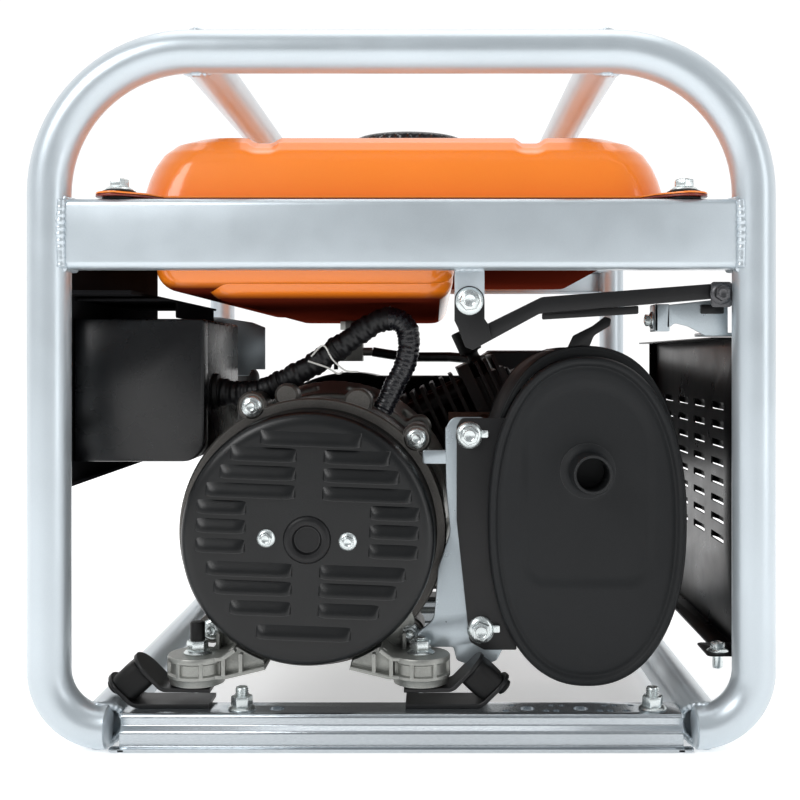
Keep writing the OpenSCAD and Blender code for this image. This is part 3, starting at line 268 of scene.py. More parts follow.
def hood(x0, x1, lip, rise, out, soft=6.0, t=0.9, nu=28, nv=7):
    """A louvre pressed out of a sheet on the XZ plane towards -Y, open along its lower lip."""
    mid, half = (x0 + x1) / 2, (x1 - x0) / 2
    u = np.sin(np.linspace(-math.pi / 2, math.pi / 2, nu))
    outer, inner = [], []
    for v in np.linspace(0, 1, nv):
        for k in u:
            x = mid + half * k
            left = max(half - abs(x - mid), 0.0)
            end = math.sqrt(max(0.0, 1 - max(0.0, 1 - left / soft) ** 2))
            lift = out * end * math.sin(min(1.0, v * 1.15) * math.pi / 2)
            z = lip + rise * (1 - v) + (1 - end) * v * 1.2
            outer.append((x, -lift, z))
            inner.append((mid + (x - mid) * (1 - t / half), -max(lift - t, -0.3), z))
    n = len(outer)
    faces = []
    for i in range(nv - 1):
        for k in range(nu - 1):
            a = i * nu + k
            faces.append((a, a + 1, a + nu + 1, a + nu))
            faces.append((n + a, n + a + nu, n + a + nu + 1, n + a + 1))
    for k in range(nu - 1):
        for i in (0, nv - 1):
            a = i * nu + k
            faces.append((a, n + a, n + a + 1, a + 1))
    for i in range(nv - 1):
        for k in (0, nu - 1):
            a = i * nu + k
            faces.append((a, a + nu, n + a + nu, n + a))
    return np.array(outer + inner, float), faces


def arc(cx, cy, r, a0, a1, n=8):
    a = np.radians(np.linspace(a0, a1, n + 1))
    return list(zip(cx + r * np.cos(a), cy + r * np.sin(a)))


def rounded(points, radius, n=6):
    """A closed outline with its corners rounded. radius is one number or one for each corner."""
    p = [vec(*q) for q in points]
    radii = [radius] * len(p) if np.isscalar(radius) else radius
    out = []
    for i, q in enumerate(p):
        out += corner_arc(p[i - 1], q, p[(i + 1) % len(p)], radii[i], n) if radii[i] > 0 else [q]
    return np.array(out)


def rect(x0, x1, y0, y1, r, n=6):
    return rounded([(x0, y0), (x1, y0), (x1, y1), (x0, y1)], r, n)


def shrink(outline, by):
    """An outline moved inwards along its corners' bisectors."""
    p = np.asarray(outline, float)
    e = np.roll(p, -1, axis=0) - p
    e /= np.maximum(np.linalg.norm(e, axis=1), 1e-9)[:, None]
    normal = np.column_stack([-e[:, 1], e[:, 0]])
    area = np.sum(p[:, 0] * np.roll(p[:, 1], -1) - np.roll(p[:, 0], -1) * p[:, 1])
    if area < 0:
        normal = -normal
    both = normal + np.roll(normal, 1, axis=0)
    scale = np.maximum((both * both).sum(axis=1), 0.5)[:, None]
    return p + 2 * by * both / scale


def prism(outline, h0, h1, edge=0.5, plane="xy"):
    """A flat outline made thick, with eased edges. plane is xy, xz (thick along Y) or yz (along X)."""
    edge = min(edge, abs(h1 - h0) * 0.45)
    levels = [(edge, h0), (edge * 0.3, h0 + edge * 0.3), (0, h0 + edge), (0, h1 - edge),
              (edge * 0.3, h1 - edge * 0.3), (edge, h1)]
    rings = []
    for inset, h in levels:
        q = shrink(outline, inset) if inset else np.asarray(outline, float)
        rings.append(np.column_stack([q, np.full(len(q), float(h))]))
    p, f = loft(rings)
    order = {"xy": [0, 1, 2], "xz": [0, 2, 1], "yz": [2, 0, 1]}[plane]
    return p[:, order], f


def slab(low, high, r=2.0, edge=0.6, plane="xy"):
    """A box with rounded upright corners and eased edges."""
    k = {"xy": (0, 1, 2), "xz": (0, 2, 1), "yz": (1, 2, 0)}[plane]
    r = min(r, 0.49 * (high[k[0]] - low[k[0]]), 0.49 * (high[k[1]] - low[k[1]]))
    return prism(rect(low[k[0]], high[k[0]], low[k[1]], high[k[1]], r), low[k[2]], high[k[2]], edge, plane)


def ring_of(profile, n=48):
    """A turned ring: its profile closes on itself, so it has no end caps."""
    p, f = lathe(profile + profile[:1], n)
    return p, f[:-2]


def along_y(shape):
    """A shape drawn along Z, laid along Y."""
    return shape[0][:, [0, 2, 1]], shape[1]


def disc(x, z, y0, y1, r, edge=0.6, n=64):
    """A round plate that lies along Y."""
    return move(along_y(lathe([(r - edge, y0), (r, y0 + edge), (r, y1 - edge), (r - edge, y1)], n)), x, 0, z)


def hexagon(flats):
    r = flats / math.sqrt(3)
    return [(r * math.cos(math.radians(a)), r * math.sin(math.radians(a))) for a in range(0, 360, 60)]


def flange_head(d, spin=0.0, shank=0.0):
    """A flange bolt's head on the XY plane, pointing up, for a thread of diameter d."""
    flange = lathe([(d * 0.5, 0), (d * 1.02, 0), (d * 1.05, d * 0.07), (d * 0.98, d * 0.15), (d * 0.78, d * 0.3),
                    (d * 0.7, d * 0.32)], 40)
    head = prism(rounded(hexagon(d * 1.32), d * 0.08, 3), d * 0.2, d * 0.86, d * 0.1)
    dish = lathe([(d * 0.3, d * 0.8), (d * 0.46, d * 0.87), (d * 0.42, d * 0.92), (d * 0.36, d * 0.88),
                  (d * 0.02, d * 0.86)], 32)
    parts = [flange, turn(head, "z", spin), dish]
    if shank:
        parts.append(lathe([(d * 0.45, -shank), (d * 0.5, -shank + d * 0.1), (d * 0.5, 0.2)], 24))
    return join(*parts)


def stud_nut(d, stud, spin=0.0):
    """A flange nut on the XY plane with its threaded stud above it."""
    flange = lathe([(d * 0.5, 0), (d * 1.02, 0), (d * 1.05, d * 0.07), (d * 0.98, d * 0.15), (d * 0.75, d * 0.3)], 40)
    nut = prism(rounded(hexagon(d * 1.42), d * 0.08, 3), d * 0.2, d, d * 0.1)
    top = d + stud
    turns = max(2, int(stud / 1.25))
    profile = [(d * 0.5, 0)]
    for k in range(turns):
        profile += [(d * 0.5, d + k * stud / turns), (d * 0.43, d + (k + 0.5) * stud / turns)]
    return join(flange, turn(nut, "z", spin), lathe(profile + [(d * 0.42, top), (d * 0.3, top + 0.4)], 28))


def place(shape, at, direction):
    """A shape drawn upright, moved to a point and turned to a direction."""
    return move(facing(shape, direction), *at)


def weld(path, radius=2.2, pitch=3.2):
    """A weld bead: overlapping ripples along a path."""
    p = np.array(path, float)
    s = lengths(p)
    n = max(8, int(s[-1] / 0.7))
    t = np.linspace(0, s[-1], n)
    q = np.column_stack([np.interp(t, s, p[:, k]) for k in range(3)])
    ripple = 1 + 0.16 * np.abs(np.sin(math.pi * t / pitch)) + 0.08 * np.sin(t * 1.7)
    ripple[0], ripple[-1] = 0.55, 0.6
    return sweep(q, radius * ripple, 10)


# ---------------------------------------------------------------- pieces

SMOOTH = 38


def data_of(name, shape):
    """A shape as mesh data, in metres."""
    points, faces = shape
    data = bpy.data.meshes.new(name)
    data.from_pydata([tuple(p * MM) for p in points], [], faces)
    return data


def clean(data, dist):
    """Joins doubled points and turns the faces outwards."""
    b = bmesh.new()
    b.from_mesh(data)
    bmesh.ops.remove_doubles(b, verts=b.verts, dist=dist)
    bmesh.ops.recalc_face_normals(b, faces=b.faces)
    b.to_mesh(data)
    b.free()


def shade(data, degrees):
    """Smooth shading, but for edges sharper than an angle."""
    data.shade_smooth()
    data.set_sharp_from_angle(angle=math.radians(degrees))


def show(name, data, finish, replaces=()):
    """A piece of mesh data in the scene, in its material. It still needs a body."""
    piece = bpy.data.objects.new(name, data)
    bpy.context.scene.collection.objects.link(piece)
    data.materials.clear()
    data.materials.append(FINISH[finish])
    if replaces:
        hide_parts(*replaces)
    return piece


def mesh(name, shape, finish, body="frame", replaces=(), smooth=SMOOTH):
    """Makes a shape a piece: smooth but for its sharp edges, and riding on a body."""
    data = data_of(name, shape)
    clean(data, 2e-6)
    shade(data, smooth)
    piece = show(name, data, finish, replaces)
    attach(piece, body)
    return piece


def applied(piece):
    """The piece with its modifiers made real."""
    depsgraph = bpy.context.evaluated_depsgraph_get()
    data = bpy.data.meshes.new_from_object(piece.evaluated_get(depsgraph))
    piece.modifiers.clear()
    piece.data = data
    return piece


def copy_of(node, name, finish):
    """A new piece with a CAD node's shape, which it replaces."""
    source = frame["nodes"][node]
    data = source.data.copy()
    clean(data, 1e-5)
    piece = show(name, data, finish, [node])
    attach(piece, source["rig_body"])
    return piece


def casting(node, finish, voxel, rounds):
    """A CAD node as a casting or moulding: its edges and inner corners flow into fillets."""
    piece = copy_of(node, node + "_cast", finish)
    m = piece.modifiers.new("remesh", "REMESH")
    m.mode = "VOXEL"
    m.voxel_size = voxel * MM
    s = piece.modifiers.new("soften", "SMOOTH")
    s.factor = 0.5
    s.iterations = rounds
    applied(piece).data.shade_smooth()


def eased(node, finish, width=0.5, segments=2):
    """A CAD node with its sharp edges eased."""
    piece = copy_of(node, node + "_eased", finish)
    b = bmesh.new()
    b.from_mesh(piece.data)
    bmesh.ops.dissolve_limit(b, angle_limit=math.radians(0.6), verts=b.verts, edges=b.edges)
    b.to_mesh(piece.data)
    b.free()
    m = piece.modifiers.new("ease", "BEVEL")
    m.width = width * MM
    m.segments = segments
    m.limit_method = "ANGLE"
    m.angle_limit = math.radians(40)
    m.use_clamp_overlap = True
    shade(applied(piece).data, 45)


def cut(piece, shape):
    """Cuts a shape out of a piece."""
    tool = mesh("tool", shape, "dark_steel")
    m = piece.modifiers.new("cut", "BOOLEAN")
    m.operation = "DIFFERENCE"
    m.solver = "EXACT"
    m.object = tool
    applied(piece)
    bpy.data.objects.remove(tool)
    shade(piece.data, SMOOTH)


def dress(node, finish):
    """A CAD node kept as it is, with a better material."""
    data = frame["nodes"][node].data
    data.materials.clear()
    data.materials.append(FINISH[finish])


# ---------------------------------------------------------------- materials

FINISH = {}
SLOT = {}


def finish(name, slot, colour, rough, metal=0.0, coat=0.0, vary=0.08, patch=14, grain=700, bump=0.08,
           rough_vary=0.08, edge_wear_and_highlight=None, edge_wear_and_highlight_amount=0.5, stretch=(1, 1, 1), coat_rough=0.06, spec=0.5, under=None):
    """A procedural surface: patches of tone, a fine grain in its relief and roughness, and lighter edges, partly edge
    wear and partly a painted highlight. Where under is given, faces that look down get painted shade.
    """
    m = bpy.data.materials.new(name)
    m.use_nodes = True
    nodes, links = m.node_tree.nodes, m.node_tree.links
    shader = nodes["Principled BSDF"].inputs
    shader["Metallic"].default_value = metal
    shader["Coat Weight"].default_value = coat
    shader["Coat Roughness"].default_value = coat_rough
    shader["Specular IOR Level"].default_value = spec

    def add(kind, inputs=(), **settings):
        """A node with its settings. An input is linked where its value is another node's output."""
        node = nodes.new("ShaderNode" + kind)
        for key, value in settings.items():
            setattr(node, key, value)
        for key, value in dict(inputs).items():
            if isinstance(value, bpy.types.NodeSocket):
                links.new(value, node.inputs[key])
            else:
                node.inputs[key].default_value = value
        return node

    where = add("Mapping", {"Scale": stretch, "Vector": add("TexCoord").outputs["Object"]}).outputs["Vector"]

    def noise(scale, detail):
        return add("TexNoise", {"Scale": scale, "Detail": detail, "Vector": where}).outputs["Fac"]

    def ramp(source, low, high, start=0.3, stop=0.7):
        r = add("ValToRGB", {"Fac": source})
        for element, position, tone in zip(r.color_ramp.elements, (start, stop), (low, high)):
            element.position, element.color = position, tone
        return r.outputs["Color"]

    def grey(level):
        return (level, level, level, 1)

    def mixed(factor, a, b, blend_type="MIX"):
        inputs = {"Factor": factor, "A": a, "B": b}
        return add("Mix", inputs, data_type="RGBA", blend_type=blend_type).outputs["Result"]

    def between(share, low, high):
        return add("MapRange", {"To Min": low, "To Max": high, "Value": share}).outputs["Result"]

    def tone(f):
        return [min(1.0, c * f) for c in colour] + [1]

    fine = noise(grain, 3)
    surface = mixed(min(1.0, 2.5 * vary), ramp(noise(patch, 5), tone(1 - vary), tone(1 + vary)),
                    ramp(fine, grey(0.35), grey(0.65)), "OVERLAY")
    geometry = add("NewGeometry").outputs["Normal"]
    # Edges are mixed towards the edge colour: partly edge wear, partly a painted highlight along every edge.
    if edge_wear_and_highlight:
        eased_normal = add("Bevel", {"Radius": 0.0009}, samples=4).outputs["Normal"]
        flatness = add("VectorMath", {0: eased_normal, 1: geometry}, operation="DOT_PRODUCT").outputs["Value"]
        surface = mixed(ramp(flatness, grey(edge_wear_and_highlight_amount), grey(0), 0.82, 0.97), surface, tuple(edge_wear_and_highlight) + (1,))
    # Faces that look down are painted in the under colour, with coat and specular faded out: painted shade on the
    # undersides.
    if under:
        up = add("SeparateXYZ", {"Vector": geometry}).outputs["Z"]
        down = add("Math", {0: up, 1: -1}, operation="MULTIPLY").outputs["Value"]
        painted_underside_shade = ramp(down, grey(0), grey(1), 0.62, 0.9)
        surface = mixed(painted_underside_shade, surface, tuple(under) + (1,))
        links.new(between(painted_underside_shade, coat, 0.0), shader["Coat Weight"])
        links.new(between(painted_underside_shade, spec, 0.0), shader["Specular IOR Level"])
    links.new(surface, shader["Base Color"])
    gloss = between(noise(patch * 4, 4), max(0.02, rough - rough_vary), min(1.0, rough + rough_vary))
    links.new(gloss, shader["Roughness"])
    relief = add("Bump", {"Strength": bump, "Distance": 0.0006, "Height": fine})
    links.new(relief.outputs["Normal"], shader["Normal"])
    FINISH[name], SLOT[name] = m, slot


# Each edge colour below is partly edge wear and partly a painted highlight on the edges.
finish("silver", "silver_paint", (0.56, 0.62, 0.66), 0.33, metal=0.60, coat=0.15, vary=0.05, grain=2600,
       bump=0.05, coat_rough=0.15)
finish("zinc", "zinc_sheet", (0.50, 0.54, 0.57), 0.20, metal=0.92, vary=0.10, patch=22, grain=1500, bump=0.06,
       stretch=(0.25, 1, 1))
finish("plate_zinc", "zinc_sheet", (0.40, 0.45, 0.48), 0.30, metal=0.70, vary=0.06, patch=22, grain=1500, bump=0.06)
finish("plated", "zinc_bolts", (0.66, 0.71, 0.71), 0.25, metal=0.92, vary=0.12, patch=90, grain=2500, bump=0.10,
       edge_wear_and_highlight=(0.85, 0.88, 0.88))
# The orange's under colour is painted shade on the tank's downward faces.
finish("orange", "orange_paint", (0.97, 0.235, 0.009), 0.30, coat=0.7, vary=0.03, patch=8, grain=500, bump=0.015,
       rough_vary=0.04, under=(0.09, 0.011, 0.005))
# A darker copy of the orange paint, with painted shade in its colour, for the sheet under the seam.
finish("orange_painted_shade", "orange_paint", (0.20, 0.020, 0.008), 0.34, coat=0.3, vary=0.10, patch=20, grain=500,
       bump=0.03)
finish("gloss_black", "gloss_black_paint", (0.003, 0.003, 0.0034), 0.30, coat=0.0, vary=0.12, grain=900,
       bump=0.03, spec=0.22)
finish("satin_black", "satin_black_paint", (0.005, 0.005, 0.0056), 0.42, vary=0.14, grain=1100, bump=0.06,
       edge_wear_and_highlight=(0.06, 0.06, 0.06), spec=0.35)
finish("matte_black", "matte_black_paint", (0.0085, 0.0095, 0.0105), 0.56, vary=0.14, patch=10, grain=1500,
       bump=0.12, edge_wear_and_highlight=(0.10, 0.10, 0.10), edge_wear_and_highlight_amount=0.4, spec=0.30)
finish("cover_black", "matte_black_paint", (0.0035, 0.0040, 0.0044), 0.31, vary=0.14, patch=10, grain=1500,
       bump=0.10, edge_wear_and_highlight=(0.12, 0.12, 0.12), edge_wear_and_highlight_amount=0.35, spec=0.40)
finish("cast", "cast_aluminium", (0.30, 0.305, 0.285), 0.40, metal=0.72, vary=0.14, patch=35, grain=1300, bump=0.25,
       edge_wear_and_highlight=(0.62, 0.62, 0.60), edge_wear_and_highlight_amount=0.55)
# A darker copy of the cast aluminium, with painted shade in its colour, for the end bracket's ring.
finish("cast_painted_shade", "cast_aluminium", (0.085, 0.080, 0.074), 0.38, metal=0.75, vary=0.22, patch=35, grain=1300,
       bump=0.25, edge_wear_and_highlight=(0.40, 0.39, 0.37), edge_wear_and_highlight_amount=0.45)
finish("machined", "bearing_steel", (0.55, 0.55, 0.54), 0.24, metal=1.0, vary=0.06, grain=2400, bump=0.05)
finish("laminations", "laminations", (0.050, 0.038, 0.034), 0.40, metal=0.6, vary=0.18, patch=30, grain=1400,
       bump=0.35, stretch=(0.1, 3, 0.1))
finish("copper", "copper", (0.30, 0.09, 0.028), 0.32, metal=0.7, coat=0.5, vary=0.22, patch=60, grain=900, bump=0.5)
finish("dark_steel", "dark_steel", (0.10, 0.10, 0.105), 0.36, metal=0.9, vary=0.12, grain=1600, bump=0.10)
finish("black_plastic", "black_plastic", (0.0075, 0.0075, 0.0085), 0.44, vary=0.12, grain=2200, bump=0.16,
       spec=0.35)
finish("panel_black", "satin_black_paint", (0.013, 0.013, 0.014), 0.50, vary=0.14, grain=1100, bump=0.06,
       edge_wear_and_highlight=(0.05, 0.05, 0.05), edge_wear_and_highlight_amount=0.2, spec=0.0)
finish("box_black", "black_plastic", (0.0025, 0.0027, 0.0034), 0.27, vary=0.12, grain=2200, bump=0.10, spec=0.45)
finish("gloss_plastic", "gloss_black_plastic", (0.006, 0.006, 0.007), 0.22, coat=0.2, vary=0.10, grain=1500,
       bump=0.03, spec=0.4)
finish("rubber", "rubber_black", (0.006, 0.006, 0.006), 0.52, vary=0.20, patch=40, grain=1800, bump=0.20, spec=0.25)
finish("hot_pipe", "pipe_steel", (0.14, 0.075, 0.055), 0.42, metal=0.8, vary=0.25, patch=25, grain=900, bump=0.15)
finish("fins", "engine_black", (0.016, 0.011, 0.010), 0.40, metal=0.35, vary=0.25, patch=30, grain=900, bump=0.25,
       edge_wear_and_highlight=(0.11, 0.075, 0.065))
finish("socket", "socket_black", (0.010, 0.014, 0.028), 0.32, vary=0.10, grain=1500, bump=0.05)
finish("dial", "meter_white", (0.78, 0.78, 0.74), 0.30, coat=1.0, vary=0.02, grain=900, bump=0.01)
finish("brass", "terminal_brass", (0.58, 0.38, 0.12), 0.28, metal=1.0, vary=0.10, grain=1500, bump=0.06)
finish("red", "switch_red", (0.50, 0.010, 0.008), 0.28, coat=0.4, vary=0.06, grain=1500, bump=0.03)
finish("rope", "rope", (0.60, 0.59, 0.54), 0.80, vary=0.18, grain=1800, bump=0.8, stretch=(1.6, 1, 1))
finish("sleeve", "harness_sleeve", (0.006, 0.006, 0.0085), 0.26, vary=0.30, patch=70, grain=900, bump=0.35, spec=0.5)
finish("tape", "harness_sleeve", (0.006, 0.006, 0.007), 0.42, vary=0.35, patch=90, grain=260, bump=0.9, spec=0.4)

# ---------------------------------------------------------------- places, from the CAD


def box(node):
    low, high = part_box(node)
    return np.array(low) / MM, np.array(high) / MM


hoop_low, hoop_high = box("front_hoop")
TUBE_R = (hoop_high[1] - hoop_low[1]) / 2
HOOP_Y = -(hoop_low[1] + TUBE_R)
LEG_X = hoop_high[0] - TUBE_R
TOP_Z = hoop_high[2] - TUBE_R
TOP_BEND = 84
FOOT_BEND = 34
ALTERNATOR_X, ALTERNATOR_Z = -57, 121
# The tank's four bolting ears, and its filler
EAR_X, EAR_Y = 167, 284
CAP_Y = -90
# The engine's mounts: how far they stand from the alternator's axis, and the front and back pair
FOOT_X = 68
FOOT_YS = (-262, 60.5)
# The plate that carries the muffler, and the bolt through the hanger tab
PLATE_Y = -252.0
HANGER = (40, 263.5)
# The control panel's face, and the sockets in it
PANEL_X = -214.1
OUTLET_YS, OUTLET_Z = (-196, -134), 207
FRONT, LEFT, RIGHT, UP = (0, -1, 0), (-1, 0, 0), (1, 0, 0), (0, 0, 1)


def camera():
    """The photographed view: level, square to the alternator's end."""
    data = bpy.data.cameras.new("camera")
    data.lens = 54.1
    data.shift_x = -0.045
    data.shift_y = -0.0525
    data.clip_start = 0.02
    view = bpy.data.objects.new("camera", data)
    view.location = (0.0203, -0.995, 0.230)
    view.rotation_euler = (math.radians(90), 0, 0)
    bpy.context.scene.collection.objects.link(view)
    bpy.context.scene.camera = view


def lamp(name, at, aim, size, watts):
    data = bpy.data.lights.new(name, "AREA")
    data.shape = "RECTANGLE"
    data.size, data.size_y = size
    data.energy = watts
    light = bpy.data.objects.new(name, data)
    light.location = at
    light.rotation_euler = (Vector(aim) - Vector(at)).to_track_quat("-Z", "Y").to_euler()
    bpy.context.scene.collection.objects.link(light)


def studio():
    """A pale floor, a bright even surround and large soft lamps."""
    data = bpy.data.meshes.new("floor")
    data.from_pydata([(x, y, -0.0004) for x, y in ((-6, -4), (6, -4), (6, 8), (-6, 8))], [], [(0, 1, 2, 3)])
    floor = bpy.data.objects.new("floor", data)
    bpy.context.scene.collection.objects.link(floor)
    m = bpy.data.materials.new("floor")
    m.use_nodes = True
    shader = m.node_tree.nodes["Principled BSDF"].inputs
    shader["Base Color"].default_value = (0.95, 0.95, 0.95, 1)
    shader["Roughness"].default_value = 0.6
    shader["Emission Color"].default_value = (1, 1, 1, 1)
    shader["Emission Strength"].default_value = 0.40
    data.materials.append(m)

    world = bpy.data.worlds.new("surround")
    world.use_nodes = True
    nodes, links = world.node_tree.nodes, world.node_tree.links
    where, split, share, tone = [nodes.new("ShaderNode" + kind)
                                 for kind in ("TexCoord", "SeparateXYZ", "MapRange", "ValToRGB")]
    links.new(where.outputs["Generated"], split.inputs["Vector"])
    share.inputs["From Min"].default_value = -1
    links.new(split.outputs["Y"], share.inputs["Value"])
    links.new(share.outputs["Result"], tone.inputs["Fac"])
    links.new(tone.outputs["Color"], nodes["Background"].inputs["Color"])
    stops = tone.color_ramp.elements
    stops[0].position, stops[0].color = 0.0, (0.26, 0.27, 0.28, 1)
    stops[1].position, stops[1].color = 0.62, (1, 1, 1, 1)
    stops.new(0.42).color = (0.55, 0.56, 0.57, 1)
    nodes["Background"].inputs["Strength"].default_value = 1.02
    bpy.context.scene.world = world
    lamp("key", (-1.1, -1.5, 1.3), (0, 0, 0.2), (0.9, 0.9), 13)
    lamp("fill", (1.5, -1.3, 0.6), (0, 0, 0.2), (0.6, 1.2), 4)
    lamp("top", (0, 0.1, 2.0), (0, 0, 0.2), (1.6, 1.6), 10)
    bpy.context.scene.view_settings.view_transform = "Standard"
    bpy.context.scene.view_settings.exposure = 0.10


camera()
studio()

# ---------------------------------------------------------------- frame


def hoop_path(y):
    foot = LEG_X - FOOT_BEND
    return round_path(
        [(-foot + 0.4, y, TUBE_R), (-LEG_X, y, TUBE_R), (-LEG_X, y, TOP_Z), (LEG_X, y, TOP_Z), (LEG_X, y, TUBE_R),
         (foot - 0.4, y, TUBE_R)],
        [FOOT_BEND, TOP_BEND, TOP_BEND, FOOT_BEND], 20)


def tubes():
    """The two hoops, the tubes that join them, and the weld beads round those tubes' ends."""
    for y, name, node in ((-HOOP_Y, "hoop_front", "front_hoop"), (HOOP_Y, "hoop_rear", "rear_hoop")):
        path = hoop_path(y)
        bend = bar(path, TUBE_R, 40)
        ends = [[c + (ring - c) * k + unit(c - inner) * lift for k, lift in ((0.78, 0.9), (0.94, 0.5))]
                for ring, c, inner in ((bend[0], path[0], path[1]), (bend[-1], path[-1], path[-2]))]
        mesh(name, loft(ends[0] + bend + ends[1][::-1]), "silver", replaces=[node])
    a = np.linspace(0, 2 * math.pi, 60)
    saddle = np.minimum(HOOP_Y - np.sqrt(np.maximum(TUBE_R**2 - (TUBE_R * np.sin(a)) ** 2, 0)) * 0.96, HOOP_Y - 1)
    for node, name in (("top_side_tubes", "tube_top"), ("base_side_tubes", "tube_base")):
        high = box(node)[1]
        x, z = high[0] - TUBE_R, high[2] - TUBE_R
        reach = high[1] + 5
        shapes, beads = [], []
        for s in (-1, 1):
            shapes.append(pipe([(s * x, -reach, z), (s * x, 0, z), (s * x, reach, z)], TUBE_R, 1.6, 40))
            for end in (-1, 1):
                ring = np.column_stack([s * x + 12.6 * np.cos(a), end * saddle, z + 12.6 * np.sin(a)])
                beads.append(weld(ring, 1.9))
        mesh(name, join(*shapes), "silver", replaces=[node])
        mesh(name + "_welds", join(*beads), "silver")


def tank_rails():
    """The two channels that the tank hangs on, the front one deeper and with the hanger tab."""
    for node, side, name, height in (("front_tank_rail", -1, "rail_front", 41),
                                     ("rear_tank_rail", 1, "rail_rear", 25)):
        low, high = box(node)
        face = low[1] if side < 0 else high[1]
        top = high[2]
        foot = top - height
        profile = [(face - side * 15, foot + 1), (face - side * 1, foot + 1), (face - side * 1, top - 1),
                   (face - side * 29.8, top - 1)]
        parts = [folded(profile, 3.2, 2, -high[0], high[0])]
        beads = []
        for s in (-1, 1):
            x = s * (high[0] - 0.2)
            beads.append(weld([(x, face - side * 1.0, foot + 0.5), (x + s * 0.5, face - side * 0.4, (foot + top) / 2),
                               (x, face - side * 1.0, top - 0.5)], 2.7, 4.2))
            for z in (foot + 0.5, top - 0.5):
                beads.append(weld([(x - s * 0.5, face - side * 1.5, z), (x - s * 4, face - side * 16, z)], 2.0))
        if side < 0:
            corners = [(31.2, 248), (48.8, 248), (48.8, foot + 2.5), (31.2, foot + 2.5)]
            tab = rounded(corners, [8.4, 8.4, 0.8, 0.8], 10)
            parts.append(prism(tab, face + 8.8, face + 10.8, 0.5, "xz"))
            beads.append(weld([(31.4, -287, foot + 0.3), (48.6, -287, foot + 0.3)], 1.3))
        mesh(name, join(*parts), "silver", replaces=[node])
        mesh(name + "_welds", join(*beads), "silver")


def base_rails():
    """The two folded rails across the base, with their rows of holes, and the front one's lips."""
    end = 165.6
    for node, name, back in (("front_base_rail", "rail_base_front", -259), ("rear_base_rail", "rail_base_rear", 76)):
        profile = [(back - 1, 0.2), (back - 1, 19), (back - 26, 19), (back - 26, 13), (back - 30, 9.8),
                   (back - 30, 1), (back - 36, 1)]
        piece = mesh(name, folded(profile, [1.8, 1.8, 2.2, 2.2, 1.6], 1.9, -end, end), "zinc", replaces=[node])
        spots = [(4.5, 28, x, 15.5) for x in (-75, 75, 107)]
        for x in (66, 90, 96, 122, 128, 138):
            spots += [(1.9, 18, x, 9), (2.3, 18, x - 4, 20)]
        cut(piece, join(*[move(lathe([(r, -4), (r, 4)], n), x, back - y, 19) for r, n, x, y in spots]))
        if back < 0:
            lips = [slab((x, back - 36, 0.1), (x + 11, back - 29.5, 2), 2, 0.4) for x in (-171, 160)]
            mesh(name + "_lip", join(*lips), "zinc")
        beads = [weld([(x, back - 1, 18), (x, back - 26, 18)], 1.6) for x in (-end, end)]
        mesh(name + "_welds", join(*beads), "silver")


# ---------------------------------------------------------------- fuel tank

SEAM = 326.0


# Each corner's sides along X and Y, and the angle that its arc starts from
CORNERS = ((1, 1, 0), (-1, 1, 90), (-1, -1, 180), (1, -1, 270))


def oblong(w, length, r, z, n_short=96, n_long=72, n_corner=14):
    """A rounded rectangle as a ring of points at height z. w and length are its half sizes."""
    r = min(r, w * 0.98, length * 0.98)
    points = []
    for sx, sy, a0 in CORNERS:
        x, y = sx * (w - r), sy * (length - r)
        a = np.radians(np.linspace(a0, a0 + 90, n_corner, endpoint=False))
        points += list(zip(x + r * np.cos(a), y + r * np.sin(a)))
        last = math.radians(a0 + 90)
        x1, y1 = x + r * math.cos(last), y + r * math.sin(last)
        n, run_x, run_y = (n_short, -2 * x, 0) if a0 in (0, 180) else (n_long, 0, -2 * y)
        points += [(x1 + run_x * k / n, y1 + run_y * k / n) for k in range(n)]
    return np.column_stack([np.array(points), np.full(len(points), float(z))])


def tank_top(w, length):
    """The upper shell: a crowned side, two shallow grooves along the top and a raised ring round the filler."""
    side = np.array([(0, 0), (1.2, 6), (3.4, 14), (7, 23), (12, 31), (19, 37), (30, 41), (45, 42.6), (70, 43.5),
                     (110, 44), (158, 44)])
    insets = np.concatenate([np.linspace(0, 1, 9) ** 1.3 * 1.2, np.linspace(1.6, 20, 20), np.arange(22, 154, 2.6)])
    rings = []
    for inset in insets:
        z = np.interp(inset, side[:, 0], side[:, 1])
        in_y = inset * 0.62 if inset < 30 else 18.6 + (inset - 30) * 1.1
        rings.append(oblong(w - inset, length - in_y, max(30 - inset * 0.2, 14), SEAM + 1.2 + z * 0.985))
    points, faces = loft(rings, start=False)
    lift = points[:, 2] - SEAM
    for centre, half in ((-87, 9.5), (79, 9)):
        away = np.abs(points[:, 0] - centre)
        points[:, 2] -= 3.4 * (1 - step(away, half * 0.5, half * 1.15)) * step(lift, 27, 38)
    near = np.hypot(points[:, 0], points[:, 1] - CAP_Y)
    points[:, 2] += 1.6 * (1 - step(near, 50, 66)) * step(lift, 38, 43)
    mesh("tank_top", (points, faces), "orange", replaces=["tank_upper_shell"], smooth=60)


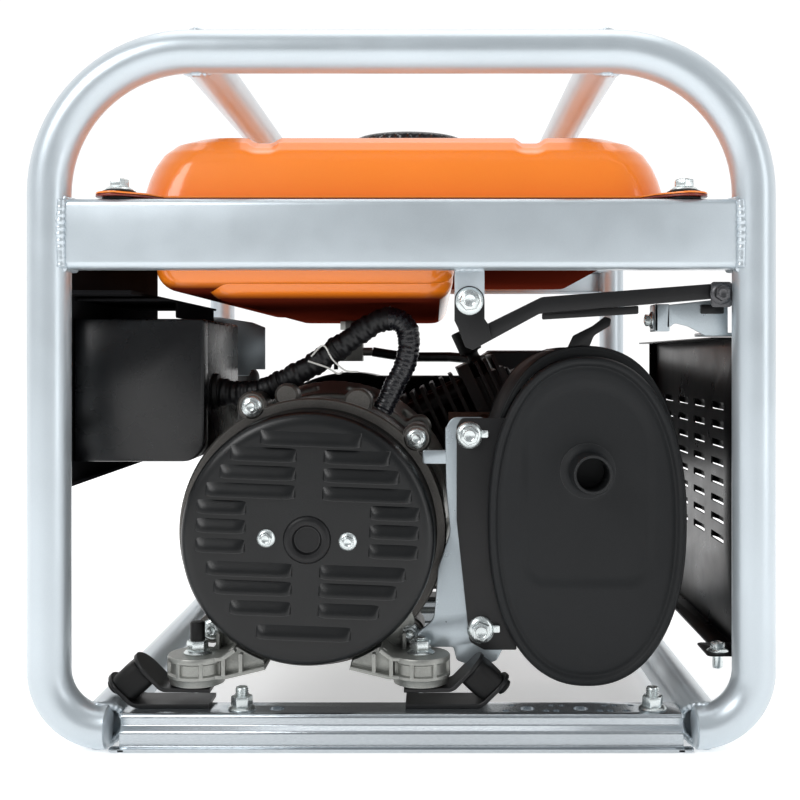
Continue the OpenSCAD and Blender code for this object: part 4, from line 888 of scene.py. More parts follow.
def tank_flanges(w, length):
    """The seam's two sheets with their four ears, and the lip on the left."""
    outline = []
    fw, fl = w + 9.5, length + 11.5
    for sx, sy, a0 in CORNERS:
        side_first = a0 in (0, 180)
        ear = arc(sx * EAR_X, sy * EAR_Y, 13.6, a0 - (20 if side_first else 0), a0 + (90 if side_first else 110), 14)
        side = [(sx * fw, sy * (fl - 22))]
        end = [(sx * 150, sy * 285), (sx * 143, sy * fl)]
        outline += side + ear + end if side_first else end[::-1] + ear + side
    outline = np.array(outline)
    mesh("tank_flange_top", prism(outline, SEAM + 0.1, SEAM + 1.3, 0.4), "orange")
    # The sheet under the seam is in the darker copy of the orange: painted shade.
    mesh("tank_flange_low", prism(outline, SEAM - 1.3, SEAM - 0.1, 0.4), "orange_painted_shade")
    lip = folded([(-171.5, SEAM + 3.6), (-168.5, SEAM + 1.2), (-160, SEAM + 0.9)], 1.5, 1.0, -262, -80, "xz")
    mesh("tank_flange_lip", lip, "orange")


def pan(x0, x1, y0, y1, bottom, r):
    """One step of the tank's underside."""
    middle = vec((x0 + x1) / 2, (y0 + y1) / 2, 0)
    half_x, half_y = (x1 - x0) / 2, (y1 - y0) / 2
    rings = []
    for a in np.linspace(0, 90, 10):
        slope = math.radians(90 - a)
        inset, z = r * (1 - math.cos(slope)), bottom + r - r * math.sin(slope)
        rings.append(oblong(half_x - inset, half_y - inset, max(17 - inset * 0.7, 5), z, 20, 20) + middle)
    rings.append(oblong(half_x + 1.2, half_y + 1.2, 17, SEAM - 1, 20, 20) + middle)
    return loft(rings)


def tank():
    tank_top(164.5, 262.0)
    tank_flanges(164.5, 262.0)
    pans = [pan(-159.3, 159.3, -256.8, 256.8, 300.6, 12), pan(-155, 32, -255.8, 255.8, 271.5, 15),
            pan(-125, 31.2, -252, 252, 265.4, 15)]
    # The pans take the orange finish, so their downward faces carry painted shade.
    mesh("tank_bottom", join(*pans), "orange", replaces=["tank_lower_shell"], smooth=50)
    washers = [move(lathe([(4.4, 0), (9.6, 0), (10, 0.3), (10, h - 0.3), (9.6, h), (4.4, h)], 40), x, y, z)
               for x in (-EAR_X, EAR_X) for y in (-EAR_Y, EAR_Y) for z, h in ((323.1, 1.45), (327.35, 1.15))]
    mesh("tank_washers_soft", join(*washers), "rubber", replaces=["tank_washers"])


def fuel_cap():
    """The ribbed cap, and the filler neck under it."""
    z = box("fuel_cap")[1][2] - 17
    r = 42.6
    body = lathe([(20, -12), (24.8, -12), (24.8, 0.2), (r - 1.4, 0), (r, 1.2), (r, 3), (r, 13), (r - 0.6, 14.4),
                  (r - 1.8, 16), (r - 3.5, 16.8), (r - 5, 16.9), (r - 6.5, 16.2), (r - 10, 15.6), (1, 15.6)],
                 180, 30, 1.7, (2.5, 13.2))
    mesh("fuel_cap_body", move(body, 0, CAP_Y, z), "gloss_plastic", "tank_cap", ["fuel_cap"])
    ring = lathe([(30.2, -7), (33, -7), (33, -6.5), (30.5, -1), (30.2, -1)], 64)
    mesh("fuel_neck", move(ring, 0, CAP_Y, SEAM + 51), "orange")


tubes()
tank_rails()
base_rails()
tank()
fuel_cap()

# ---------------------------------------------------------------- alternator

COVER_TURN = 2.2
COVER_DEPTH = 34
COVER_BOLT_X = 24.5
COVER_ROWS = [(56, -30.5, 30.5), (-60, -28.5, 28.5)]
for lip, near, far in ((46, 8, 48), (35, 8, 54), (24, 8, 62), (13.5, 37, 67), (2.3, 37, 67), (-9.5, 37, 67),
                       (-23, 8, 60), (-34, 8, 55), (-46, 8, 45)):
    COVER_ROWS += [(lip, -far, -near), (lip, near, far)]


def on_axis(shape):
    """Moves a shape drawn about the origin to the crankshaft's axis, turned with the end cover."""
    return move(turn(shape, "y", COVER_TURN), ALTERNATOR_X, 0, ALTERNATOR_Z)


def turned_y(profile, n=96):
    """A turned shape along Y, from (radius, y) pairs."""
    return along_y(lathe(profile, n))


def end_cover():
    """The pressed cover, cut open under its louvres, and the dome in its middle."""
    back = box("alternator_end_cover")[1][1]
    front = back - COVER_DEPTH + 0.3
    r = 77.0
    skin = above(front, (0.5, 0), (68, 0), (70, 0.05), (72.5, 0.5), (75, 1.8), (76.4, 4), (r - 0.2, 7), (r, 15),
                 (r - 0.9, 16), (r - 0.9, 18), (r, 19), (r, 29), (r + 0.9, 31))
    skin += [(r + 1.1, back - 0.1), (r - 1.0, back - 0.1)]
    skin += above(front, (r - 1.8, 19), (r - 2.0, 7), (73.6, 3.2), (70, 1.6), (68, 1.5), (0.5, 1.5))
    cover = mesh("cover", on_axis(turned_y(skin, 160)), "cover_black", replaces=["alternator_end_cover"])
    slits = [slab((x0 + 3.5, front - 3, lip + 0.4), (x1 - 3.5, front + 3, lip + 4.6), 1, 0.1, "xz")
             for lip, x0, x1 in COVER_ROWS]
    slits += [move(turned_y([(3.2, -3), (3.2, 3)], 24), s * COVER_BOLT_X, front, 0) for s in (-1, 1)]
    slits.append(turned_y([(12, front - 4), (12, front + 4)], 40))
    cut(cover, on_axis(join(*slits)))
    hoods = [move(hood(x0, x1, lip, 9.0, 3.1, 7.0), 0, front + 0.3, 0) for lip, x0, x1 in COVER_ROWS]
    mesh("cover_louvres", on_axis(join(*hoods)), "cover_black", smooth=50)
    dome = turned_y(above(front, (14.6, 1.2), (14.4, -0.4), (13.2, -1.6), (11, -2.0), (9, -1.4), (8.2, -0.2),
                          (7.6, 1.6), (0.5, 2), (0.5, 3), (14, 3)), 72)
    mesh("cover_dome", on_axis(dome), "satin_black")


def ear_spots():
    """Where the end bracket's long bolts stand."""
    return [(ALTERNATOR_X + 87.5 * math.cos(math.radians(a)), ALTERNATOR_Z + 87.5 * math.sin(math.radians(a)))
            for a in (42, 116, 224, 314)]


def small_bolts():
    """The M6 and M5 bolts: two in the cover, four long ones round it and three single ones."""
    front = box("alternator_end_cover")[1][1] - COVER_DEPTH + 0.2
    tilt = math.radians(COVER_TURN)
    heads = []
    for s, spin in ((-1, 12), (1, 37)):
        at = (ALTERNATOR_X + s * COVER_BOLT_X * math.cos(tilt), front,
              ALTERNATOR_Z - s * COVER_BOLT_X * math.sin(tilt))
        heads.append(place(flange_head(5.2, spin, 10), at, FRONT))
    for k, (x, z) in enumerate(ear_spots()):
        heads.append(place(flange_head(6.2, 10 + 23 * k, 130), (x, -241.1, z), FRONT))
    for d, spin, shank, at, way in ((6.2, 9, 10, (192, -262, 51.3), UP), (5, 14, 8, (151.9, -262, 253), LEFT),
                                    (6.2, 20, 6, (-210.9, -262, 171), RIGHT)):
        heads.append(place(flange_head(d, spin, shank), at, way))
    mesh("m6_bolts", join(*heads), "plated", replaces=["m6_flange_bolts"])


# ---------------------------------------------------------------- exhaust

# The middle of the muffler's face, and the height of its outlet
MX, MZ = 113.0, 130.0
STUB_Z = 161


def oval(inset, y, n=144, power=2.25, w=122.0, h=202.0):
    a = np.linspace(0, 2 * math.pi, n, endpoint=False)
    c, s = np.cos(a), np.sin(a)
    x = (w / 2 - inset) * np.sign(c) * np.abs(c) ** (2 / power)
    z = (h / 2 - inset) * np.sign(s) * np.abs(s) ** (2 / power)
    return np.column_stack([MX + x, np.full(n, float(y)), MZ + z])


def muffler():
    """The oval shell with its rolled rims and pressed face, its seams, and the outlet stub."""
    low, high = box("muffler_shell")
    front, back = low[1], high[1]
    rim = above(back, (37.2, -3.5), (20, -3.2), (9.5, -2.9), (7.2, -1.4), (5.6, -0.4), (3.4, 0), (1.2, -0.6),
                (0.1, -2.6), (0.1, -5), (1.6, -7.6), (4.4, -8.6), (5.0, -10))
    rim += [(5.0, y) for y in np.linspace(back - 14, front + 14, 8)]
    rim += above(front, (5.0, 10.4), (4.4, 9), (1.6, 8), (0.15, 5.6), (0.05, 3.2), (0.9, 1.1), (2.4, 0.1), (4.0, 0.3),
                 (5.2, 1.3), (5.9, 2.6), (6.6, 2.9), (7.6, 2.4), (9.5, 2.0))
    centre = vec(MX, front + 2.0, MZ)
    face = [centre + (oval(10, front + 2.0) - centre) * vec(share, 1, share)
            for share in np.linspace(0.985, 0.02, 50)]
    points, faces = loft([oval(inset, y) for inset, y in rim] + face)
    x, z = points[:, 0] - MX, points[:, 2] - MZ
    arch = np.hypot(x, z - 45) - 39
    corner = np.hypot(np.abs(x) - 25, z + 24) - 14
    straight = np.maximum(np.abs(x) - 39, -38 - z)
    away = np.where(z > 45, arch, np.where((np.abs(x) > 25) & (z < -24), corner, straight))
    on_face = (points[:, 1] > front + 1.99) & (points[:, 1] < front + 2.01)
    dish = 1 - step(np.hypot(x / 61, z / 101), 0.2, 1.0)
    collar = 1 - step(np.hypot(x, z - (STUB_Z - MZ)), 11.5, 19)
    points[:, 1] += np.where(on_face, -1.5 * dish + 1.5 * (1 - step(away, -3.5, 3.0)), 0)
    points[:, 1] -= np.where(on_face, 1.6 * collar, 0)
    mesh("muffler_body", (points, faces), "matte_black", replaces=["muffler_shell"], smooth=50)
    seam = [sweep(np.vstack([oval(4.9, y), oval(4.9, y)[:1]])[::3], 0.7, 8) for y in (front + 40, back - 30)]
    mesh("muffler_seams", join(*seam), "matte_black")
    points, faces = turned_y(above(front, (9.8, 24), (9.8, -24.4), (10.3, -25), (11.3, -25), (11.8, -24.3),
                                   (11.8, -3.4), (12.6, -1.8), (14.6, -0.4), (17, 0.6), (17, 3), (11.8, 4),
                                   (11.8, 24)), 64)
    mesh("muffler_stub", move((points, faces[:-2]), MX, 0, STUB_Z), "matte_black", replaces=["muffler_outlet"])
    dark = turned_y(above(front, (9.75, 14), (9.75, 15)), 40)
    mesh("muffler_stub_dark", move(dark, MX, 0, STUB_Z), "matte_black")


def top_shield():
    """The bent sheet over the muffler, with a lip, rolled hems, two tabs and a lug."""
    low, high = box("muffler_top_shield")
    ring = oval(-1.2, 0, 144)
    path = [(q[0], q[2]) for q in ring if q[2] > MZ + 30 and 55 < q[0] < 189]
    path.sort(key=lambda q: -math.atan2(q[1] - MZ, q[0] - MX))
    p = np.array(path)
    n = normals(p)
    t = np.linspace(0, 1, len(p))
    stand_off = 4.2 * step(t, 0.02, 0.4) * (1 - step(t, 0.6, 0.98))
    p = p + n * stand_off[:, None]
    sheet = prism(np.vstack([p + n * 0.7, (p - n * 0.7)[::-1]]), low[1] + 0.8, high[1], 0.35, "xz")
    inner = p - n * (1.4 + stand_off)[:, None]
    lip = prism(np.vstack([p + n * 0.2, inner[::-1]]), low[1] + 0.2, low[1] + 1.7, 0.2, "xz")
    hems = [sweep(np.column_stack([p[:, 0], np.full(len(p), y), p[:, 1]]), 1.3, 10)
            for y in (low[1] + 1.3, high[1] - 1)]
    mesh("heat_shield", join(sheet, lip, *hems), "matte_black", replaces=["muffler_top_shield"])
    top = MZ + 99
    tabs = [slab((x - 5, low[1] + 20, top - 4.6), (x + 5, high[1] - 20, top + 7.4), 1.5, 0.5, "xz")
            for x in (MX - 12, MX + 12)]
    lug = rounded([(99, 229), (106, 244), (118, 250), (126, 256), (130, 254.5), (129, 250), (119, 244), (113, 229)],
                  [1, 3, 6, 1.5, 1.5, 1.5, 6, 1])
    tabs.append(prism(lug, low[1] + 2, low[1] + 4, 0.5, "xz"))
    mesh("heat_shield_tabs", join(*tabs), "satin_black")


def side_plate():
    outline = rounded([(33, 188), (36, 193), (68, 193), (70, 50), (50, 50), (41, 55), (33, 130)],
                      [3, 3, 1, 1, 4, 4, 20])
    mesh("side_plate", prism(outline, PLATE_Y - 2, PLATE_Y, 0.5, "xz"), "satin_black",
         replaces=["muffler_side_plate"])


def support_bracket():
    """The light plate behind the muffler: a strip that flares into a foot, a flange and a strap."""
    y0 = PLATE_Y + 0.1
    outline = rounded(
        [(26, 186), (30, 193.5), (49, 193.5), (56, 187), (54, 90), (57, 74), (65, 68.5), (66, 59), (58, 43),
         (46, 38.5), (33, 43), (31, 51.3), (9, 51.2), (9, 60.5), (19, 68), (21.5, 100), (29, 122), (26.5, 150)],
        [3, 6, 4, 4, 20, 10, 3, 3, 4, 4, 3, 2, 2, 3, 10, 14, 14, 20])
    front = prism(outline, y0, y0 + 3, 0.7, "xz")
    flange = slab((26, y0 + 0.2, 168), (29, y0 + 8, 187), 1.2, 0.5)
    strap = slab((12, y0 + 0.4, 164.5), (30, y0 + 2.9, 173), 1.5, 0.5, "xz")
    mesh("support_bracket", join(front, flange, strap), "plate_zinc", replaces=["muffler_bracket"])


def bracket_bolts():
    """The M8 bolts and nuts, the washer at the hanger tab and the sleeve on the left front stud."""
    heads = []
    for (x, z), spin in (((40.8, 182.4), 18), ((48, 62.5), 40)):
        heads.append(place(flange_head(8, spin, 10), (x, -254.1, z), FRONT))
        heads.append(slab((x + 7.4, -256.4, z - 1.4), (x + 11.6, -254.1, z + 3.2), 0.8, 0.4, "xz"))
    heads.append(place(flange_head(8, 8, 10), (HANGER[0], -287.4, HANGER[1]), FRONT))
    for x in (-EAR_X, EAR_X):
        for y in (-EAR_Y, EAR_Y):
            heads.append(place(flange_head(8, 21 + x + y, 16), (x, y, 328.6), UP))
    for side in (-1, 1):
        x = ALTERNATOR_X + side * FOOT_X
        for y in FOOT_YS:
            stud = 8 if side < 0 or y > 0 else 1.5
            heads.append(place(stud_nut(8, stud, 15), (x, y, 50.3), UP))
            heads.append(move(lathe([(4, 27), (4, 51)], 24), x, y, 0))
    for x in (-96, 150):
        under = join(lathe([(4, 8), (4, 21)], 24), prism(rounded(hexagon(13), 0.6, 3), 8, 14, 0.7))
        heads += [place(stud_nut(8, 5, 10), (x, -274.5, 20.1), UP), move(under, x, -274.5, 0)]
    mesh("m8_bolts", join(*heads), "plated", replaces=["m8_fasteners"])
    washer = lathe([(4.4, 0), (7.9, 0), (8.4, 0.5), (8.4, 1.6), (7.9, 2.1), (4.4, 2.1)], 36)
    sleeve = lathe([(4.1, 0), (4.5, 0.3), (4.5, 11), (3.9, 11.8), (1, 12)], 32)
    mesh("hanger_washer", join(place(washer, (HANGER[0], -285.2, HANGER[1]), (0, 1, 0)),
                               move(sleeve, ALTERNATOR_X - FOOT_X, FOOT_YS[0], 57.6)), "rubber")


def side_guard():
    """The louvred sheet beside the muffler, with its returns along the rear, top and foot."""
    x = 205.0
    y0, y1, z0, z1 = -253.0, 19.0, 50.0, 243.0
    wall = mesh("guard_wall", slab((x, y0, z0), (x + 1.2, y1, z1), 5, 0.3, "yz"), "gloss_black",
                replaces=["muffler_guard"])
    returns = [slab((x - 5, y1 - 1.2, z0 + 1), (x + 1.0, y1, z1 - 1), 1, 0.3),
               slab((x - 14, y0 + 3, z1 - 1.3), (x + 1.0, y1 - 0.5, z1 - 0.1), 3, 0.3),
               slab((x - 14, y0 + 14, z0 + 0.1), (x + 1.0, y1 - 0.5, z0 + 1.3), 3, 0.3),
               slab((x - 21, y0 - 18, z0 + 0.1), (x + 1.0, y0 + 14, z0 + 1.3), 3, 0.3)]
    spots = [(y, 110 + k * 12.3) for y in (-205, -150.5, -96, -41.5) for k in range(8)]
    louvre = turn(hood(-18.5, 18.5, 0, 7.6, 4.2, 6.0, 0.9, 22, 6), "z", 90)
    cut(wall, join(*[slab((x - 2, y - 17.5, z + 0.2), (x + 3, y + 17.5, z + 5.2), 1.2, 0.1, "yz") for y, z in spots]))
    mesh("guard_louvres", join(*[move(louvre, x + 1.0, y, z) for y, z in spots]), "gloss_black", smooth=50)
    mesh("guard_returns", join(*returns), "gloss_black")


def arm():
    """A bent channel from the hanger tab to the leg, and the zinc plate under its end."""
    y0 = -285.0
    end = LEG_X - 14
    face = rounded([(31, 268), (49, 268), (49, 252), (51, 250), (83, 266), (end, 274.6), (end, 266), (82, 256.4),
                    (42, 234.7), (37.5, 236.5), (33.5, 247)], [6, 6, 1, 1, 6, 1, 1, 8, 1.5, 1.5, 3])
    parts = [prism(face, y0, y0 + 2, 0.5, "xz")]
    for line in ([(51, 249.4), (83, 265.2), (end, 273.8)], [(42, 235.8), (82, 257.4), (end, 267)]):
        parts.append(folded(line, 8, 1.8, y0 + 0.4, y0 + 14, "xz", 0.4))
    parts.append(slab((end - 14, y0 + 12, 256.5), (end, y0 + 13.6, 262), 1, 0.4, "xz"))
    eye = arc(*HANGER, 8.9, 0, 180, 20) + [(31.1, 252), (34, 246), (37.5, 236.5), (42, 234.7), (53, 241), (51, 250),
                                           (48.9, 253)]
    parts.append(prism(np.array(eye), y0 - 3.15, y0 - 2.35, 0.3, "xz"))
    strip = rounded([(84, 257), (142, 261.5), (142, 256.5), (84, 253)], 1)
    parts.append(prism(strip, y0 + 12, y0 + 13.6, 0.4, "xz"))
    mesh("guard_arm_bent", join(*parts), "satin_black", replaces=["guard_arm"])
    plate = rounded([(160, 262), (159, 247), (164, 251), (172, 249), (182, 243.6), (196, 243.6), (196, 266)],
                    [1, 1, 3, 5, 5, 1, 1])
    leaf = [prism(plate, y0 + 13.4, y0 + 15.2, 0.4, "xz"),
            slab((152, y0 + 13.4, 246), (154, y0 + 31, 262.5), 1.5, 0.4, "xz"),
            slab((152, y0 + 13.4, 246), (161, y0 + 15.4, 262.5), 1, 0.4, "xz"),
            slab((182, y0 + 14, 243.3), (205, y0 + 44, 245.3), 2, 0.4)]
    mesh("guard_arm_plate", join(*leaf), "plate_zinc")
    stay = [place(flange_head(6.2, 25, 4), (end - 5, y0 - 1.5, 268), FRONT),
            slab((end - 11, y0 - 1.6, 260), (end + 1.5, y0 - 0.2, 275), 2, 0.4, "xz")]
    mesh("guard_arm_stay", join(*stay), "dark_steel")


end_cover()
small_bolts()
muffler()
top_shield()
side_plate()
support_bracket()
bracket_bolts()
side_guard()
arm()

# ---------------------------------------------------------------- alternator's end bracket and mounts


def ring_y(profile, n=96):
    """A turned ring along Y about the crankshaft's axis, from (radius, y) pairs."""
    return move(along_y(ring_of(profile, n)), ALTERNATOR_X, 0, ALTERNATOR_Z)


def bracket_foot(side):
    """A cast foot: a ribbed boss, and a girder of two flanges and a web that runs under the cover."""
    y, back = FOOT_YS[0], -234
    boss = [ring_of([(4.8, 0), (14.4, 0), (16.4, 0.8), (17.3, 4.4), (18, 5.2), (18, 6.8), (16.3, 7.8), (16.1, 13.6),
                     (17.8, 14.8), (18, 16.9), (17.4, 17.9), (16.4, 18), (4.8, 18)], 96)]
    rib = slab((15, -1.3, 6.4), (18, 1.3, 15.4), 0.5, 0.4)
    boss += [turn(rib, "z", a) for a in (140, 207, 253, 300, 350)]
    under_cover = arc(0, ALTERNATOR_Z, 78.3, -69.8, -57, 6)
    web = np.array([(60, 37.6), (50, 37.8), (26, 43.2)] + under_cover + [(46, 55), (51, 50), (60, 49.4)])
    parts = [move(join(*boss), FOOT_X, y, 32.2), prism(web, y - 7, back, 0.4, "xz")]
    for line, bend in (([(61, 49), (51, 49.2), (43.5, 54.6)], 6), ([(61, 38.2), (49, 38.4), (25.5, 44)], 10)):
        parts.append(folded(line, bend, 2.4, y - 12.5, back, "xz", 0.7))
    plate = rounded([(40, 48), (58, 48), (59, 58), (66, 62), (62, 72), (52, 88), (40, 92)], [1, 1, 3, 8, 4, 6, 1])
    parts += [slab((49.2, y - 12.4, 38), (51.6, y - 5, 50), 0.8, 0.5, "xz"),
              slab((38.8, y - 12.4, 41), (41.2, y - 5, 52.6), 0.8, 0.5, "xz"),
              prism(plate, -243, back, 0.7, "xz"),
              slab((56.4, -252, 47), (58.8, -240, 60), 0.8, 0.5, "xz")]
    return move(handed(join(*parts), side > 0), ALTERNATOR_X, 0, 0)


def end_bracket():
    """The cast ring behind the cover, its hub, spokes and bolting ears, and its two feet."""
    y0, y1 = -241.0, -212.3
    rim = above(y0, (74, 0.6), (74.6, 0), (82.8, 0), (84, 1.2), (84, 8), (82.2, 9.2), (82.2, 12), (84, 13.2),
                (84, 20), (82.6, 21), (82.6, 23), (84, 24))
    hub = above(y0, (20.1, 0), (25.6, 0), (27, 1.4), (27, 12.6), (25.6, 14), (20.1, 14))
    parts = [ring_y(rim + [(84, y1), (74, y1)], 144), ring_y(hub, 72)]
    spoke = slab((-4, y0 + 0.4, 26), (4, y0 + 7, 75), 1, 0.8, "xz")
    parts += [move(turn(spoke, "y", a), ALTERNATOR_X, 0, ALTERNATOR_Z) for a in range(0, 360, 60)]
    for x, z in ear_spots():
        parts += [disc(x, z, y0, y1, 9.3, 1.4, 48), disc(x, z, y0 - 0.3, y0 + 2, 7.4, 0.5, 48)]
    parts += [on_axis(disc(s * COVER_BOLT_X, 0, -273.3, y0 + 0.7, 6, 0.6, 32)) for s in (-1, 1)]
    for x, z, back, r in ((28, 81, 6, 9), (-17, 85.5, 8, 7.5)):
        parts.append(disc(ALTERNATOR_X + x, ALTERNATOR_Z + z, y0 + 3, y1 - back, r, 1.6, 40))
    # The ring, hub, spokes and ears are in the darker copy of the cast aluminium, painted shade; the feet keep the
    # plain cast finish.
    mesh("bracket_ring", join(*parts), "cast_painted_shade", replaces=["alternator_end_bracket"])
    mesh("bracket_feet", join(bracket_foot(1), bracket_foot(-1)), "cast")


def tongue(path, t, half, tip):
    """A bent strap along an XZ path, half as wide as given, with its first end rounded off over tip."""
    p = np.array([(x, 0, z) for x, z in path])
    s = lengths(p)
    nose = tip * (1 - np.cos(np.linspace(0, math.pi / 2, 12)))
    u = np.unique(np.concatenate([nose, np.linspace(tip, s[-1], 40)]))
    q = np.column_stack([np.interp(u, s, p[:, 0]), np.zeros(len(u)), np.interp(u, s, p[:, 2])])
    rings = []
    for c, along, way in zip(q, tangents(q), u):
        normal = np.cross(along, (0, 1, 0))
        w = half * math.sqrt(max(0.02, 1 - max(0.0, 1 - way / tip) ** 2))
        rings.append([c + normal * b * t / 2 + vec(0, a, 0) for a, b in (
            (-w, -0.6), (-w, 0.6), (-w + 0.4, 1), (w - 0.4, 1), (w, 0.6), (w, -0.6), (w - 0.4, -1), (-w + 0.4, -1))])
    return loft([np.array(r) for r in rings])


def mount_block():
    """The rubber between a mount's two straps, with the knob under it, leaning outwards on the left."""
    a, b = vec(-43, 0, 27), vec(-28, 0, 40)
    way, up = unit(b - a), vec(-math.sqrt(0.5), 0, math.sqrt(0.5))
    section = np.array([c[0] * up + vec(0, c[1], 0) for c in rect(-6.4, 11.4, -12, 12, 5.5)])
    rings = []
    for t in np.linspace(0.075, 0.925, 14):
        at_end = 1 if t < 0.1 or t > 0.9 else 0
        rings.append(a + (b - a) * t + section * (1 + 0.07 * math.sin(math.pi * t) - 0.05 * at_end))
    knob = lathe([(4.8, 0), (5, 0.5), (5, 3.6), (3.6, 4.5), (0.5, 4.6)], 32)
    return join(loft(rings), place(knob, a + up * 7 - way * 0.9, -way))


def mounts():
    """Each mount: a strap bent up from the rail, a strap under the foot and a rubber block between them."""
    low = round_path([(-53, 37.2, 0), (-36.7, 21.3, 0), (9, 21.3, 0)], 9)[:, :2]
    high = round_path([(-37.6, 49.6, 0), (-19.2, 31, 0), (10, 30.75, 0)], 7)[:, :2]
    straps, block = join(tongue(low, 2.4, 13, 10), tongue(high, 2.4, 13.4, 13)), mount_block()
    spots = [(side, y) for side in (-1, 1) for y in FOOT_YS]
    for name, shape, kind, node in (("mount_straps", straps, "satin_black", "mount_brackets"),
                                    ("mount_blocks", block, "rubber", "mount_rubbers")):
        mesh(name, join(*[move(handed(shape, side < 0), ALTERNATOR_X + side * FOOT_X, y, 0) for side, y in spots]),
             kind, replaces=[node])


def harness():
    """The taped loom from the control box, over a hump and down into the alternator in a ribbed sleeve."""
    route = [(-127, -196, 208), (-116, -198, 208), (-104, -202, 209), (-90, -207, 212), (-76, -211, 217),
             (-62, -214, 224), (-48, -217, 233), (-36, -220, 241), (-25, -222, 249), (-15, -224, 254),
             (-6, -226, 255), (1, -227, 250), (3, -227, 241), (2, -227, 231), (-1, -227, 222),
             (-6, -227, 213), (-10, -227, 204), (-14, -227, 196.5)]
    loom_end, sleeve_start = 172, 166
    path = smooth_path(route, 260)
    t = np.linspace(0, 1, len(path))
    lumps = 0.35 * np.sin(t * 70) + 0.3 * np.sin(t * 173 + 1) + 0.25 * np.sin(t * 311 + 2)
    line = path - vec(0, 0, 1) * (2.2 * np.sin(np.clip(t / 0.3, 0, 1) * math.pi))[:, None]
    thickness = 7.4 + lumps + 1.6 * (1 - step(t, 0.0, 0.16))
    mesh("harness_loom", sweep(line[:loom_end], thickness[:loom_end], 28), "tape", replaces=["wiring_harness"])
    sleeve = line[sleeve_start:]
    ribs = 0.22 * np.sin(np.arange(len(sleeve)) * 1.7) + lumps[sleeve_start:] * 0.4
    mesh("harness_sleeve", sweep(sleeve, 7.3 - 0.8 * np.linspace(0, 1, len(sleeve)) + ribs, 28), "sleeve")
    band = lathe([(6.9, -1.3), (8.4, -1.2), (8.6, 0), (8.4, 1.2), (6.9, 1.3)], 40)
    grommet = lathe([(7, 0), (11.5, 0), (12, 1), (11.5, 3.4), (9, 4), (7, 4)], 40)
    bands = [place(band, line[k], unit(line[k + 1] - line[k - 1])) for k in (62, 118)]
    mesh("harness_bands", join(*bands, place(grommet, (-127.2, -196, 208), RIGHT)), "rubber")
    wires = [sweep(smooth_path(points, 40), 0.6, 8) for points in (
        [(-60, -222, 231), (-52, -224, 238), (-46, -224, 229), (-38, -222, 222), (-30, -219, 221)],
        [(-62, -222, 228), (-50, -223, 224), (-43, -222, 220), (-40, -219, 221)])]
    mesh("harness_ties", join(*wires), "dial")


def control_box_shell():
    """The box with wells for the sockets, its lid with a seam, and the tray under the panel's shelf."""
    low, high = box("control_box")
    x0, front = low[0] - 0.2, low[1]
    outline = rounded([(x0, low[2]), (high[0], low[2]), (high[0], high[2]), (x0, high[2])], [1, 14, 2.5, 1], 10)
    well = lathe([(19.4, -14.5), (19.4, 3)], 72)
    shell = mesh("box_shell", prism(outline, front + 14, high[1], 1.2, "xz"), "box_black", replaces=["control_box"])
    cut(shell, join(*[place(well, (low[0], y, OUTLET_Z), LEFT) for y in OUTLET_YS]))
    lid = prism(outline, front, front + 13.6, 1.6, "xz")
    seam = prism(shrink(outline, 0.7), front + 12, front + 15.4, 0.2, "xz")
    mesh("box_lid", join(lid, seam), "box_black")
    tray = join(slab((-210, -228, 266.5), (-150, -60, 268), 3, 0.4),
                slab((-152, -200, 256.5), (-150.6, -70, 268), 2, 0.4, "yz"),
                slab((-168, -80, 256.5), (-150, -78.6, 268), 2, 0.4, "xz"))
    mesh("panel_tray", tray, "panel_black")


def outlets():
    """Two round sockets: a flange with a rolled rim, a deep well, two pin sleeves and side contacts."""
    well = lathe([(0.6, -14), (18.4, -14), (18.4, 2.4), (19.2, 3), (20.6, 3), (21.4, 2.2), (23.6, 1.4), (25, 0.6),
                  (25, 0), (21, 0), (21, -24), (0.6, -24)], 96)
    pins = []
    for s in (-1, 1):
        sleeve = lathe([(2.6, -14), (2.6, -12.4), (4.4, -12.2), (4.8, -13.6), (4.8, -14)], 24)
        rivet = lathe([(0.4, 1.6), (2, 1.6), (2.6, 0.8), (2.6, 0), (0.4, 0)], 24)
        pins += [move(sleeve, 0, s * 9.5), move(slab((-3, -1, -14), (3, 1, -2), 0.8, 0.4), 0, s * 17.4),
                 move(rivet, s * 16, s * 16)]
    for k, y in enumerate(OUTLET_YS):
        at = (PANEL_X, y, OUTLET_Z)
        mesh(f"outlet_{k + 1}", place(well, at, LEFT), "socket", replaces=["ac_outlets"] if k == 0 else [])
        mesh(f"outlet_pins_{k + 1}", place(join(*pins), at, LEFT), "brass")
    screws = [place(flange_head(4.2, 20 * y, 1), (PANEL_X, y, z), LEFT) for y in (-243, -5) for z in (159, 297)]
    mesh("panel_screws", join(*screws), "plated")


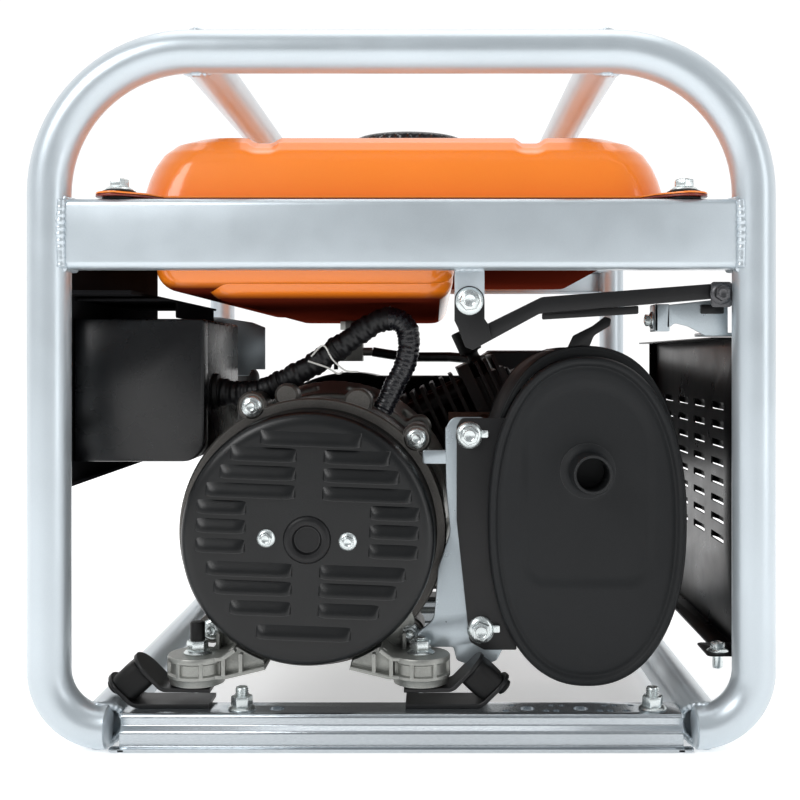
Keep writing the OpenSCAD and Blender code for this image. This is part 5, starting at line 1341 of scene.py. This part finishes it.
def meter():
    """A round voltmeter: a bezel, a white dial with ticks, a needle and its hub."""
    at = vec(PANEL_X, -72, 222)
    bezel = ring_of([(18.6, 1.6), (18.6, 2.8), (19.4, 3), (21.6, 2.6), (23, 1.4), (23, 0), (19, 0), (19, -23),
                     (0.5, -23), (0.5, 1.0), (18.6, 1.0)], 96)
    mesh("meter_bezel", place(bezel, at, LEFT), "gloss_plastic", replaces=["voltmeter"])
    dial = lathe([(0.4, 1.0), (18.5, 1.0), (18.5, 1.5), (0.4, 1.5)], 72)
    mesh("meter_dial", place(dial, at, LEFT), "dial")
    face = []
    for k in range(13):
        reach = 4.2 if k % 3 == 0 else 2.4
        face.append(turn(slab((-0.3, 16.4 - reach, 1.5), (0.3, 16.4, 1.62), 0.1, 0.05), "z", 135 - k * 22.5))
    hub = lathe([(0.3, 1.5), (2.6, 1.5), (2.6, 2.4), (2, 2.8), (0.3, 2.8)], 32)
    face.append(turn(join(slab((-0.35, -3, 1.7), (0.35, 13.6, 2.0), 0.2, 0.05), hub), "z", 135))
    points, faces = join(*face)
    mesh("meter_needle", (at + points[:, [2, 0, 1]] * (-1, -1, 1), faces), "gloss_plastic")


def binding_posts():
    """The terminals: a brass post on a collar, with a knurled nut."""
    knurl = lathe([(2.4, 1.7), (4.6, 1.7), (4.9, 2.2), (4.9, 4.2), (4.4, 4.8), (2.4, 4.8)], 60, 15, 0.5, (2.0, 4.3))
    stem = lathe([(0.5, 0.2), (6, 0.2), (6.1, 0.8), (5.8, 1.6), (2.5, 1.7), (2.5, 5.2), (2, 5.6), (0.5, 5.6)], 40)
    spots = [(-214, y, 172) for y in (-92, -70, -48, -22)]
    mesh("terminal_posts", join(*[place(stem, at, LEFT) for at in spots]), "brass", replaces=["terminals"])
    mesh("terminal_nuts", join(*[place(knurl, at, LEFT) for at in spots]), "gloss_plastic")


def rope():
    """The laid starter rope from the reel to the handle."""
    t = np.linspace(0, 1, 260)
    strands = []
    for k in range(3):
        a = 2 * math.pi * (t * 9 + k / 3)
        line = np.column_stack([-161 + t * 58, 172 + 1.05 * np.cos(a), 166 + 1.05 * np.sin(a)])
        strands.append(sweep(line, 1.12, 10))
    data = data_of("rope", join(*strands))
    data.shade_smooth()
    piece = show("rope_strands", data, "rope", ["starter_rope"])
    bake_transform(piece)


end_bracket()
mounts()
harness()
control_box_shell()
outlets()
meter()
binding_posts()
rope()

# ---------------------------------------------------------------- castings and engine

for node, kind, voxel, rounds in (("engine_adapter", "cast", 1.8, 4), ("crankcase", "cast", 2.0, 5),
                                  ("carburettor", "cast", 1.2, 5), ("air_cleaner", "black_plastic", 1.6, 6),
                                  ("pull_handle", "rubber", 1.0, 5), ("brush_holder", "black_plastic", 1.0, 4),
                                  ("spark_plug", "rubber", 0.9, 5), ("valve_cover", "satin_black", 1.4, 6)):
    casting(node, kind, voxel, rounds)
for node, kind in (("cylinder_block", "fins"), ("cylinder_head", "fins"),
                   ("fan_housing", "gloss_black"), ("recoil_housing", "gloss_black"),
                   ("control_panel", "panel_black"), ("panel_bracket", "plate_zinc"), ("fuel_tap", "cast"),
                   ("fuel_tap_lever", "gloss_plastic"), ("choke_lever", "plated"), ("engine_switch", "red"),
                   ("breaker_button", "gloss_plastic"), ("oil_cap", "gloss_plastic")):
    eased(node, kind)
for node, kind in (("stator_core", "laminations"), ("stator_windings", "copper"), ("bearings", "machined"),
                   ("crankshaft", "machined"), ("rotor", "laminations"), ("flywheel_fan", "cast"),
                   ("recoil_reel", "black_plastic"), ("exhaust_pipe", "hot_pipe"), ("fuel_hose", "rubber")):
    dress(node, kind)
